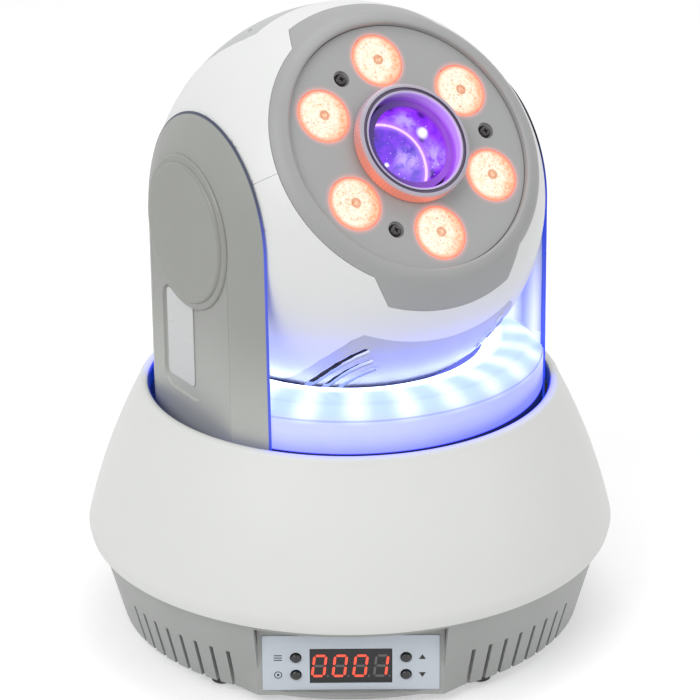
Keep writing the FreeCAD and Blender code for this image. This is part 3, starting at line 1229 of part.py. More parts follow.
def ring_diffuser():
    """Milky ring that glows round the foot of the head."""
    crown = (RING_CROWN_RADIUS, RING_CROWN_Z)
    top = (RING_TOP_RADIUS, RING_TOP_Z)
    brim = (RING_INNER_RADIUS, RING_INNER_Z)
    brim_in = (RING_INNER_RADIUS + RING_WALL, RING_INNER_Z - RING_WALL / 2)
    crown_in = (RING_CROWN_RADIUS - RING_WALL / 2, RING_CROWN_Z - RING_WALL)
    ring = turned(
        (RING_RADIUS, TRAY_TOP_Z + PART_LINE), (RING_RADIUS, RING_SHOULDER_Z),
        (RING_RADIUS - RING_STEP, RING_SHOULDER_Z), (RING_RADIUS - RING_STEP, RING_SHOULDER_Z + RING_STEP),
        crown, *chords(crown, top, brim, RING_STEPS), (RING_INNER_RADIUS, RING_INNER_Z - RING_LIP_DEPTH),
        (RING_INNER_RADIUS + RING_WALL, RING_INNER_Z - RING_LIP_DEPTH), brim_in,
        *chords(brim_in, (RING_TOP_RADIUS, RING_TOP_Z - RING_WALL), crown_in, WALL_STEPS),
        (RING_RADIUS - RING_WALL, RING_SHOULDER_Z - RING_WALL / 2),
        (RING_RADIUS - RING_WALL, TRAY_TOP_Z + PART_LINE),
    )
    return between_arms(ring)


def ring_board():
    """Ring board with a light source every few degrees, none under the arms."""
    board = tube(RING_BOARD_OUTER, RING_BOARD_INNER, RING_BOARD_Z, RING_BOARD_Z + BOARD_THICK)
    chips = []
    for index in range(RING_CHIP_COUNT):
        place = polar(RING_CHIP_RADIUS, (index + 1 / 2) * FULL_TURN / RING_CHIP_COUNT)
        if abs(place[0]) < RING_CHIP_REACH:
            chips.append(chip(RING_CHIP_SIDE, RING_CHIP_HEIGHT, place, RING_BOARD_Z + BOARD_THICK))
    return between_arms(joined(board, chips))


# Tilt drive, built on the right and mirrored to the left arm
def tilt_motor():
    body = square_motor(HEAD_MOTOR_SIDE, HEAD_MOTOR_CHAMFER, HEAD_MOTOR_PILOT_RADIUS, HEAD_MOTOR_LENGTH,
                        ARM_LINER)
    return shifted(along_x(body), ARM_INNER_X - SIDE_GAP - ARM_LINER, 0, HEAD_MOTOR_Z)


def tilt_pulley_span():
    low = HEAD_PULLEY_X
    return low, low + HEAD_BELT_WIDTH + 2 * BELT_GAP


def plain_pulley(teeth, bore):
    low, high = tilt_pulley_span()
    tip = pitch_radius(teeth)
    return toothed_disc(teeth, tip, tip - TOOTH_DEPTH, low, high).cut(rod(bore, low - CUT, high + CUT))


def tilt_motor_pulley():
    low, high = tilt_pulley_span()
    shaft = rod(HEAD_SHAFT_RADIUS, ARM_INNER_X - SIDE_GAP + SEAT, high)
    wheel = joined(plain_pulley(HEAD_MOTOR_TEETH, HEAD_SHAFT_RADIUS), [shaft])
    return shifted(along_x(wheel), 0, 0, HEAD_MOTOR_Z)


def tilt_pulley():
    return on_axle(plain_pulley(HEAD_PULLEY_TEETH, TRUNNION_RADIUS + FIT))


def tilt_belt():
    low = HEAD_PULLEY_X + BELT_GAP
    loop = belt_loop(pitch_radius(HEAD_PULLEY_TEETH), pitch_radius(HEAD_MOTOR_TEETH),
                     HEAD_AXIS_Z - HEAD_MOTOR_Z, low, low + HEAD_BELT_WIDTH)
    return on_axle(turn_about(loop, Z_AXIS, 2 * RIGHT_ANGLE))


# Head housing
def head_regions(gap):
    """Volumes that belong to the front bezel and to the rear cover, grown by a gap."""
    far = 2 * HEAD_RADIUS
    front = block(-far, far, -far, far, BEZEL_EDGE_Z - gap, far)
    tip = BEZEL_WING_OUTER_X + gap
    root = BEZEL_WING_INNER_X + gap
    front_wing = upright([(-tip, BEZEL_WING_Z - gap), (tip, BEZEL_WING_Z - gap), (root, BEZEL_EDGE_Z),
                          (-root, BEZEL_EDGE_Z)])
    rear = block(-far, far, -far, far, -far, REAR_EDGE_Z + gap)
    rear_wing = upright([
        (-REAR_WING_ROOT_X - gap, REAR_EDGE_Z), (-REAR_WING_WAIST_X - gap, REAR_WING_STEP_Z),
        (-REAR_WING_TIP_X - gap, REAR_WING_Z + gap), (REAR_WING_TIP_X + gap, REAR_WING_Z + gap),
        (REAR_WING_WAIST_X + gap, REAR_WING_STEP_Z), (REAR_WING_ROOT_X + gap, REAR_EDGE_Z)])
    return front.fuse(front_wing), rear.fuse(rear_wing)


def upright(points):
    """Prism through the whole head, from a plan in X and Z."""
    far = 2 * HEAD_RADIUS
    corners = [at(x, -far, z) for x, z in points]
    return Part.Face(Part.makePolygon(corners + corners[:1])).extrude(at(0, 2 * far, 0))


def head_ball(radius, side_x):
    return ball(radius).common(block(-side_x, side_x, -radius, radius, -radius, radius))


def head_skin(inset=0.0):
    skin = head_ball(HEAD_RADIUS - inset, HEAD_SIDE_X)
    return skin.cut(head_ball(HEAD_RADIUS - HEAD_WALL - inset, HEAD_SIDE_X - HEAD_SIDE_WALL))


def head_shells():
    """White top and bottom shells, split along the plane of beam and tilt axis."""
    front, rear = head_regions(PART_LINE)
    side_holes = along_x(rod(HEAD_SIDE_HOLE, -HEAD_RADIUS, HEAD_RADIUS))
    skin = head_skin().cut([front, rear, side_holes])
    far = HEAD_RADIUS
    upper = skin.common(block(-far, far, PART_LINE / 2, far, -far, far))
    lower = skin.common(block(-far, far, -far, -PART_LINE / 2, -far, far))
    return upper, lower


def head_bezel():
    """Grey front ring with a wing at the top and one at the bottom."""
    front = head_regions(0.0)[0]
    inner = HEAD_RADIUS - HEAD_WALL
    bore = rod(BEZEL_BORE_RADIUS, 0, HEAD_RADIUS + CUT)
    behind = block(-BASE_RADIUS, BASE_RADIUS, -BASE_RADIUS, BASE_RADIUS, 0, BEZEL_EDGE_Z)
    wings = head_skin().common(front).common(behind)
    seat_z = FACE_Z - FACE_THICK
    edge, lip = (BEZEL_EDGE_RADIUS, BEZEL_EDGE_Z), (BEZEL_LIP_RADIUS, BEZEL_LIP_Z)
    ring = turned(
        edge, *chords(edge, bulged(lip, edge, BEZEL_BULGE), lip, CAP_STEPS), (BEZEL_BORE_RADIUS, BEZEL_BORE_Z),
        (BEZEL_BORE_RADIUS, seat_z), (BEZEL_SEAT_RADIUS, seat_z), (BEZEL_SEAT_RADIUS, seat_z - BEZEL_SEAT),
        (math.sqrt(inner ** 2 - (seat_z - BEZEL_SEAT) ** 2) - HEAD_WALL / 2, seat_z - BEZEL_SEAT),
        (math.sqrt(inner ** 2 - BEZEL_EDGE_Z ** 2), BEZEL_EDGE_Z),
    )
    return joined(ring, [wings.cut(bore)])


def cover_screw_axes():
    """Places and directions of the screws that hold the rear cover."""
    height = math.sqrt((HEAD_RADIUS - REAR_INSET) ** 2 - COVER_SCREW_X ** 2 - COVER_SCREW_Z ** 2)
    return [(at(x, side * height, COVER_SCREW_Z), side)
            for x in (-COVER_SCREW_X, COVER_SCREW_X) for side in (-1, 1)]


def cover_screw_shape(radius, low, high, place, side):
    shape = turn_about(rod(radius, low, high), X_AXIS, -side * RIGHT_ANGLE)
    return shifted(shape, place.x, place.y, place.z)


def belly_vents():
    """Slanted slots in the lower wing, three on each side."""
    vents = []
    half = COVER_VENT_WIDTH / 2
    for x, drop in zip(COVER_VENT_X, COVER_VENT_DROPS):
        front_z = REAR_WING_Z - drop
        for side in (-1, 1):
            points = [(side * (x - half), front_z), (side * (x + half), front_z + COVER_VENT_WIDTH),
                      (side * (x + half + COVER_VENT_SLANT), COVER_VENT_REAR_Z),
                      (side * (x - half + COVER_VENT_SLANT), COVER_VENT_REAR_Z)]
            vents.append(upright(points).common(block(-BASE_RADIUS, BASE_RADIUS, -HEAD_RADIUS - CUT, 0,
                                                      -BASE_RADIUS, BASE_RADIUS)))
    return vents


def rear_grille():
    """Ring slots for the fan, broken by two crossing spokes."""
    slots = []
    for radius in REAR_GRILLE_RADII:
        slots.append(tube(radius + REAR_GRILLE_WIDTH, radius, -HEAD_RADIUS - CUT, FAN_BACK_Z - CUT))
    half = REAR_GRILLE_SPOKE / 2
    far = BASE_RADIUS
    spokes = [block(-far, far, -half, half, -far, 0), block(-half, half, -far, far, -far, 0)]
    return [slot.cut(spokes) for slot in slots]


def rear_cover():
    rear = head_regions(0.0)[1]
    cover = head_skin(REAR_INSET).common(rear)
    cuts = belly_vents() + rear_grille()
    for place, side in cover_screw_axes():
        cuts.append(cover_screw_shape(SCREW_HEAD_RADIUS + SEAT, -COVER_SCREW_DEPTH, SCREW_LENGTH, place, side))
        cuts.append(cover_screw_shape(SCREW_RADIUS + SCREW_GAP, -SCREW_LENGTH, CUT, place, side))
    return cover.cut(cuts)


def head_screws():
    """Rear cover screws and face plate screws."""
    screws = []
    for place, side in cover_screw_axes():
        seated = shifted(turn_about(screw(SCREW_LENGTH), X_AXIS, 2 * RIGHT_ANGLE), 0, 0, -COVER_SCREW_DEPTH)
        screws.append(shifted(turn_about(seated, X_AXIS, -side * RIGHT_ANGLE), place.x, place.y, place.z))
    for x, y in FACE_SCREW_PLACES:
        seated = turn_about(screw(SCREW_LENGTH), X_AXIS, 2 * RIGHT_ANGLE)
        screws.append(shifted(seated, x, y, FACE_Z - FACE_SCREW_POCKET_DEPTH))
    return group(screws)


# Face of the head
def face_plate():
    plate = rod(BEZEL_BORE_RADIUS - PART_LINE, FACE_Z - FACE_THICK, FACE_Z)
    holes = [rod(LENS_RADIUS + LENS_GAP, 0, BASE_RADIUS, x, y) for x, y in LENS_PLACES]
    holes += [rod(FACE_SCREW_POCKET_RADIUS, FACE_Z - FACE_SCREW_POCKET_DEPTH, FACE_Z + CUT, x, y)
              for x, y in FACE_SCREW_PLACES]
    holes += [rod(SCREW_RADIUS + SCREW_GAP, 0, FACE_Z, x, y) for x, y in FACE_SCREW_PLACES]
    holes.append(rod(FOCUS_NECK_RADIUS + SEAT, 0, BASE_RADIUS))
    return plate.cut(holes)


def wash_lens(x, y):
    """Moulded lens with a low dome and a tapering tail over its light source."""
    rim_z = FACE_Z - LENS_RIM_THICK
    lens = turned(
        (0, FACE_Z - LENS_LENGTH), (LENS_TAIL_RADIUS, FACE_Z - LENS_LENGTH), (LENS_RADIUS - LENS_DOME, rim_z),
        (LENS_RADIUS, rim_z), (LENS_RADIUS, FACE_Z), *dome(LENS_RADIUS, LENS_DOME, FACE_Z),
    )
    return shifted(lens, x, y, 0)


def focus_ring():
    """Knurled ring that turns round the end of the optic tube."""
    setback = (FOCUS_FRONT_Z - FOCUS_BACK_Z) * FOCUS_SETBACK_SHARE
    ring = turned(
        (FOCUS_BORE_RADIUS, FOCUS_NECK_Z), (FOCUS_NECK_RADIUS, FOCUS_NECK_Z), (FOCUS_NECK_RADIUS, FOCUS_BACK_Z),
        (FOCUS_RADIUS, FOCUS_BACK_Z), (FOCUS_RADIUS, FOCUS_FRONT_Z - setback),
        (FOCUS_RADIUS - setback / 2, FOCUS_FRONT_Z), (FOCUS_LIP_RADIUS, FOCUS_FRONT_Z),
        (FOCUS_LIP_RADIUS, FOCUS_FRONT_Z - FOCUS_LIP), (FOCUS_BORE_RADIUS, FOCUS_FRONT_Z - FOCUS_LIP),
    )
    grooves = []
    for index in range(FOCUS_KNURLS):
        x, y = polar(FOCUS_RADIUS + FOCUS_KNURL_RADIUS / 2, index * FULL_TURN / FOCUS_KNURLS)
        side = FOCUS_KNURL_RADIUS
        notch = block(-side, side, -side, side, FOCUS_BACK_Z - CUT, FOCUS_FRONT_Z + CUT)
        angle = RIGHT_ANGLE / 2 + index * FULL_TURN / FOCUS_KNURLS
        grooves.append(shifted(turn_about(notch, Z_AXIS, angle), x, y, 0))
    return ring.cut(grooves)


def lens_cell():
    """Threaded cell that carries the front lens along the tube."""
    seat = CELL_RADIUS - CELL_WALL
    return turned(
        (seat, CELL_BACK_Z), (CELL_RADIUS, CELL_BACK_Z), (CELL_RADIUS, CELL_FRONT_Z),
        (CELL_LIP_RADIUS, CELL_FRONT_Z),
        (CELL_LIP_RADIUS, CELL_FRONT_Z - CELL_LIP), (seat, CELL_FRONT_Z - CELL_LIP),
    )


def front_lens():
    """Lens with a domed front, held in its cell."""
    radius = CELL_RADIUS - CELL_WALL - FIT
    low = FRONT_LENS_Z - FRONT_LENS_EDGE / 2
    high = FRONT_LENS_Z + FRONT_LENS_EDGE / 2
    return turned((0, low), (radius, low), (radius, high), *dome(radius, FRONT_LENS_BULGE, high))


# Light engine
def light_board():
    return tube(BOARD_RADIUS, BOARD_HOLE_RADIUS, BOARD_Z, BOARD_Z + BOARD_THICK)


def chip(side, height, place, low):
    half = side / 2
    return block(place[0] - half, place[0] + half, place[1] - half, place[1] + half, low, low + height)


def light_chips():
    """One light source under each moulded lens and three round the effect motor's shaft."""
    wash = [chip(CHIP_SIDE, CHIP_HEIGHT, place, BOARD_Z + BOARD_THICK) for place in LENS_PLACES]
    spots = [polar(SPOT_ORBIT_RADIUS, RIGHT_ANGLE + index * FULL_TURN / SPOT_CHIP_COUNT)
             for index in range(SPOT_CHIP_COUNT)]
    return group(wash + [chip(SPOT_CHIP_SIDE, SPOT_CHIP_HEIGHT, place, HOUSING_BACK_Z + HOUSING_WALL)
                         for place in spots])


def heatsink():
    """Ring base with straight fins behind it and a bore for the effect housing."""
    top = BOARD_Z
    base = rod(BOARD_RADIUS, top - SINK_BASE, top)
    fin_low = top - SINK_BASE - SINK_FIN_LENGTH
    fins = []
    for index in range(SINK_FIN_COUNT):
        y = (index - (SINK_FIN_COUNT - 1) / 2) * SINK_FIN_PITCH
        fins.append(block(-BOARD_RADIUS, BOARD_RADIUS, y - SINK_FIN_THICK / 2, y + SINK_FIN_THICK / 2,
                          fin_low, top - SINK_BASE))
    bank = group(fins).common(rod(BOARD_RADIUS, fin_low - CUT, top))
    cuts = [rod(SINK_BORE_RADIUS, fin_low - CUT, top - SINK_BASE), rod(TUBE_RADIUS + SEAT, 0, top + CUT)]
    cuts += [rod(POST_RADIUS + SEAT, fin_low - CUT, top - SINK_BASE, x, y) for x, y in POST_PLACES]
    cuts += [rod(SCREW_RADIUS + SCREW_GAP, 0, top + CUT, x, y) for x, y in FACE_SCREW_PLACES]
    return base.fuse(bank.Solids).cut(cuts)


def optic_housing():
    """Focus tube with the can behind it that holds the turning disc."""
    inner = HOUSING_RADIUS - HOUSING_WALL
    hole = MOTOR_SHAFT_RADIUS / 2 + SEAT
    return turned(
        (hole, HOUSING_BACK_Z), (HOUSING_RADIUS, HOUSING_BACK_Z), (HOUSING_RADIUS, TUBE_BACK_Z),
        (TUBE_RADIUS, TUBE_BACK_Z), (TUBE_RADIUS, TUBE_FRONT_Z), (TUBE_BORE_RADIUS, TUBE_FRONT_Z),
        (TUBE_BORE_RADIUS, TUBE_BACK_Z - HOUSING_WALL), (inner, TUBE_BACK_Z - HOUSING_WALL),
        (inner, HOUSING_BACK_Z + HOUSING_WALL), (hole, HOUSING_BACK_Z + HOUSING_WALL),
    )


def effect_disc():
    """Patterned disc in a deep rim, on its motor shaft."""
    rim = tube(DISC_RADIUS, DISC_RADIUS - DISC_RIM, DISC_Z - DISC_RIM, DISC_Z + DISC_THICK)
    shaft = rod(MOTOR_SHAFT_RADIUS / 2, HOUSING_BACK_Z - SEAT / 2, DISC_Z + DISC_THICK + CUT)
    return joined(rod(DISC_RADIUS, DISC_Z, DISC_Z + DISC_THICK), [rim, shaft])


def effect_motor():
    top = HOUSING_BACK_Z - SEAT
    return rod(EFFECT_MOTOR_RADIUS, top - EFFECT_MOTOR_LENGTH, top)


def trunnion():
    """Hollow stub axle on its flange, along +X from the head's side tab."""
    back = HEAD_SIDE_X - HEAD_SIDE_WALL - TRUNNION_FLANGE_THICK
    return along_x(turned(
        (TRUNNION_BORE_RADIUS, back - CHASSIS_THICK), (TRUNNION_FLANGE_RADIUS, back - CHASSIS_THICK),
        (TRUNNION_FLANGE_RADIUS, back + TRUNNION_FLANGE_THICK), (TRUNNION_RADIUS, back + TRUNNION_FLANGE_THICK),
        (TRUNNION_RADIUS, TRUNNION_END_X), (TRUNNION_BORE_RADIUS, TRUNNION_END_X),
    ))


def head_chassis():
    """Cross plate with two tabs and stub axles, and posts to the heatsink."""
    reach = HEAD_SIDE_X - HEAD_SIDE_WALL - TRUNNION_FLANGE_THICK
    half = CHASSIS_HALF_WIDTH
    plate = block(-reach, reach, -half, half, CHASSIS_Z, CHASSIS_Z + CHASSIS_THICK)
    tabs = [block(low, high, -half, half, CHASSIS_Z, CHASSIS_TAB_TOP_Z)
            for low, high in ((-reach, CHASSIS_THICK - reach), (reach - CHASSIS_THICK, reach))]
    posts = [rod(POST_RADIUS, CHASSIS_Z + CHASSIS_THICK, BOARD_Z - SINK_BASE, x, y) for x, y in POST_PLACES]
    axles = [trunnion(), left_side(trunnion())]
    wiring = along_x(rod(TRUNNION_BORE_RADIUS, -BASE_RADIUS, BASE_RADIUS))
    well = rod(EFFECT_MOTOR_RADIUS + SEAT, CHASSIS_Z - CUT, CHASSIS_Z + CHASSIS_THICK + CUT)
    return joined(plate, tabs + posts + axles).cut([wiring, well])


# Fan behind the chassis
def fan_frame():
    front = FAN_BACK_Z + FAN_DEPTH
    half = FAN_SIDE / 2
    frame = rounded_plate(-half, half, -half, half, FAN_BACK_Z, front, FAN_CORNER)
    frame = frame.cut(rod(FAN_BORE_RADIUS, FAN_BACK_Z - CUT, front + CUT))
    hole_at = half - FAN_CORNER
    frame = frame.cut([rod(FAN_HOLE_RADIUS, FAN_BACK_Z - CUT, front + CUT, x, y)
                       for x in (-hole_at, hole_at) for y in (-hole_at, hole_at)])
    arm = FAN_STRUT_WIDTH / 2
    reach = FAN_BORE_RADIUS + CUT
    struts = [block(-reach, reach, -arm, arm, FAN_BACK_Z, FAN_BACK_Z + FAN_STRUT_THICK),
              block(-arm, arm, -reach, reach, FAN_BACK_Z, FAN_BACK_Z + FAN_STRUT_THICK)]
    seat = rod(FAN_HUB_RADIUS, FAN_BACK_Z, FAN_BACK_Z + FAN_STRUT_THICK)
    return joined(frame, struts + [seat])


def fan_rotor():
    low = FAN_BACK_Z + FAN_STRUT_THICK + SEAT
    high = FAN_BACK_Z + FAN_DEPTH - SEAT
    hub = rod(FAN_HUB_RADIUS, low, high)
    blade = block(FAN_HUB_RADIUS - CUT, FAN_BLADE_REACH, -FAN_BLADE_THICK / 2, FAN_BLADE_THICK / 2,
                  -(high - low) * FAN_BLADE_SHARE, (high - low) * FAN_BLADE_SHARE)
    blade = shifted(turn_about(blade, X_AXIS, FAN_BLADE_TWIST), 0, 0, (low + high) / 2)
    blades = [turn_about(blade, Z_AXIS, index * FULL_TURN / FAN_BLADES) for index in range(FAN_BLADES)]
    trimmed = [piece.common(rod(FAN_BLADE_REACH, low, high)) for piece in blades]
    return joined(hub, trimmed)


def base_pieces():
    pieces = {
        "upper_shell": upper_shell(),
        "lower_shell": lower_shell(),
        "bottom_plate": bottom_plate(),
        "feet": group(foot(x, y) for x, y in FOOT_PLACES),
        "base_screws": base_screws(),
        "panel_label": panel_label(),
        "display_module": display_module(),
        "control_board": control_board(),
        "power_inlet": at_rear(power_inlet(), INLET_X),
        "data_in": at_rear(data_in(), DATA_IN_X),
        "connector_pins": group([at_rear(group(inlet_pin_solids()), INLET_X),
                                 at_rear(group(data_pins_solids()), DATA_IN_X)]),
        "data_out": at_rear(data_out(), DATA_OUT_X),
        "data_out_latch": at_rear(latch(), DATA_OUT_X),
        "power_supply": power_supply(),
        "pan_bridge": pan_bridge(),
        "pan_bearing_outer": tube(BEARING_RADIUS, BEARING_RACE_RADIUS + RUN, BEARING_LOW_Z, BEARING_HIGH_Z),
        "pan_motor": pan_motor(),
        "pan_motor_pulley": pan_motor_pulley(),
        "pan_belt": pan_belt(),
    }
    for name, (x, z) in BUTTON_PLACES.items():
        pieces[name] = button(x, z)
    return pieces


def yoke_pieces():
    pieces = {
        "pan_bearing_inner": tube(BEARING_RACE_RADIUS, BEARING_BORE_RADIUS, BEARING_LOW_Z, BEARING_HIGH_Z),
        "pan_pulley": pan_pulley(),
        "pan_shaft": pan_shaft(),
        "yoke_tray": yoke_tray(),
        "yoke_dish": yoke_dish(),
        "ring_diffuser": ring_diffuser(),
        "ring_board": ring_board(),
        "arm_outer_right": arm_outer(),
        "arm_inner_right": arm_inner(),
        "arm_outer_left": left_side(arm_outer()),
        "arm_inner_left": left_side(arm_inner()),
        "arm_caps": group([arm_cap(), left_side(arm_cap())]),
        "arm_nameplate": left_side(arm_nameplate()),
        "tilt_bearings": group([tilt_bearing(), left_side(tilt_bearing())]),
        "tilt_motor": left_side(tilt_motor()),
        "tilt_motor_pulley": left_side(tilt_motor_pulley()),
        "tilt_belt": left_side(tilt_belt()),
    }
    return {name: on_yoke(shape) for name, shape in pieces.items()}


def head_pieces():
    upper, lower = head_shells()
    pieces = {
        "head_shell_top": upper,
        "head_shell_bottom": lower,
        "head_bezel": head_bezel(),
        "rear_cover": rear_cover(),
        "head_screws": head_screws(),
        "face_plate": face_plate(),
        "wash_lenses": group(wash_lens(x, y) for x, y in LENS_PLACES),
        "focus_ring": focus_ring(),
        "lens_cell": lens_cell(),
        "front_lens": front_lens(),
        "optic_housing": optic_housing(),
        "light_board": light_board(),
        "light_chips": light_chips(),
        "heatsink": heatsink(),
        "effect_disc": effect_disc(),
        "effect_motor": effect_motor(),
        "head_chassis": head_chassis(),
        "fan_frame": fan_frame(),
        "fan_rotor": fan_rotor(),
    }
    placed = {name: in_head(shape) for name, shape in pieces.items()}
    placed["tilt_pulley"] = on_yoke(left_side(tilt_pulley()))
    return placed


def main():
    os.makedirs("parts", exist_ok=True)
    for pieces in (base_pieces(), yoke_pieces(), head_pieces()):
        for name, shape in pieces.items():
            shape.exportStep("parts/" + name + ".step")


main()
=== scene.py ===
import logging
import math
from collections.abc import Callable, Iterable, Sequence
from dataclasses import dataclass, field
from enum import Enum

import bmesh
import bpy
from mathutils import Matrix, Vector


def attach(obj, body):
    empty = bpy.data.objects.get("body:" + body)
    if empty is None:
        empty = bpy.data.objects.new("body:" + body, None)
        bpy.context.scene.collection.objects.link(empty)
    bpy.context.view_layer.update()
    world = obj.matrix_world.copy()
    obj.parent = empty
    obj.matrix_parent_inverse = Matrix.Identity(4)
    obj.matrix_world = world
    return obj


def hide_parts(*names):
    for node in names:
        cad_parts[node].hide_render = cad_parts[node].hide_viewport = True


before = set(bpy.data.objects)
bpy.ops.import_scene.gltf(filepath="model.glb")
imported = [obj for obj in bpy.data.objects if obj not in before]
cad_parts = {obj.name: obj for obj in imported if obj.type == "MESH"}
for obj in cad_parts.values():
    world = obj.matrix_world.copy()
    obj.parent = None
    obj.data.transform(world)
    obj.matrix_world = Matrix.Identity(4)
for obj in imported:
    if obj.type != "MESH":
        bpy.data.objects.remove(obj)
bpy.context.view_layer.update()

log = logging.getLogger("moving_head_light")

Colour = tuple[float, float, float]
Point = tuple[float, float]
Triple = tuple[float, float, float]
Socket = bpy.types.NodeSocket
Sockets = dict[str, object]
SpotTest = Callable[[Vector], bool]
UNLIT: Colour = (0.0, 0.0, 0.0)
WHITE: Colour = (1.0, 1.0, 1.0)
MM = 0.001
PAN_REST = math.radians(32.2)
TILT_REST = math.radians(37.5)
TILT_AXIS_Z = 168.0
LENS_CIRCLE = 34.0
LENS_RADIUS = 9.9
LENS_ANGLES = (30.0, 90.0, 150.0, 210.0, 270.0, 330.0)


class Place(Enum):
    """Frames in which the sub-assemblies are modelled, in millimetres."""

    BASE = "base"
    YOKE = "yoke"
    HEAD = "head"

    def matrix(self) -> Matrix:
        """Placement of this frame at rest, still in millimetres."""
        if self is Place.BASE:
            return Matrix.Identity(4)
        yoke = Matrix.Rotation(PAN_REST, 4, "Z")
        if self is Place.YOKE:
            return yoke
        rise = Matrix.Translation((0, 0, TILT_AXIS_Z))
        return yoke @ rise @ Matrix.Rotation(math.pi / 2 - TILT_REST, 4, "X")


class Value:
    """A shader socket on which Python arithmetic adds Math nodes."""

    def __init__(self, tree: "Tree", socket: Socket) -> None:
        """Wrap a socket of a tree."""
        self.tree = tree
        self.socket = socket

    def _math(self, operation: str, *others: "float | Value", clamp: bool = False) -> "Value":
        """Add one Math node.

        Args:
            operation: The node's operation.
            others: The operands after this value.
            clamp: Whether the result stays between 0 and 1.

        Returns:
            The node's result.
        """
        return self.tree.math(operation, self, *others, clamp=clamp)

    def __add__(self, other: "float | Value") -> "Value":
        """Sum."""
        return self._math("ADD", other)

    __radd__ = __add__

    def __sub__(self, other: "float | Value") -> "Value":
        """Difference."""
        return self._math("SUBTRACT", other)

    def __rsub__(self, other: "float | Value") -> "Value":
        """Difference from a number."""
        return self.tree.math("SUBTRACT", other, self)

    def __mul__(self, other: "float | Value") -> "Value":
        """Product."""
        return self._math("MULTIPLY", other)

    __rmul__ = __mul__

    def __truediv__(self, other: "float | Value") -> "Value":
        """Quotient."""
        return self._math("DIVIDE", other)

    def __pow__(self, other: "float | Value") -> "Value":
        """Power."""
        return self._math("POWER", other)

    def __abs__(self) -> "Value":
        """Magnitude."""
        return self._math("ABSOLUTE")

    def cosine(self) -> "Value":
        """Cosine of an angle in radians."""
        return self._math("COSINE")

    def root(self) -> "Value":
        """Square root."""
        return self._math("SQRT")

    def reach(self, other: "Value") -> "Value":
        """Length of the vector that has this and other as its components."""
        return (self * self + other * other).root()

    def larger(self, other: "float | Value") -> "Value":
        """The larger of the two."""
        return self._math("MAXIMUM", other)

    def smaller(self, other: "float | Value") -> "Value":
        """The smaller of the two."""
        return self._math("MINIMUM", other)

    def within(self) -> "Value":
        """Clamped to 0 to 1."""
        return self._math("ADD", 0.0, clamp=True)

    def rise(self, low: float, high: float) -> "Value":
        """Smooth step.

        Args:
            low: Where the result leaves 0.
            high: Where the result reaches 1; below low, the step falls.

        Returns:
            A value from 0 to 1.
        """
        share = ((self - low) / (high - low)).within()
        return share * share * (3.0 - 2.0 * share)


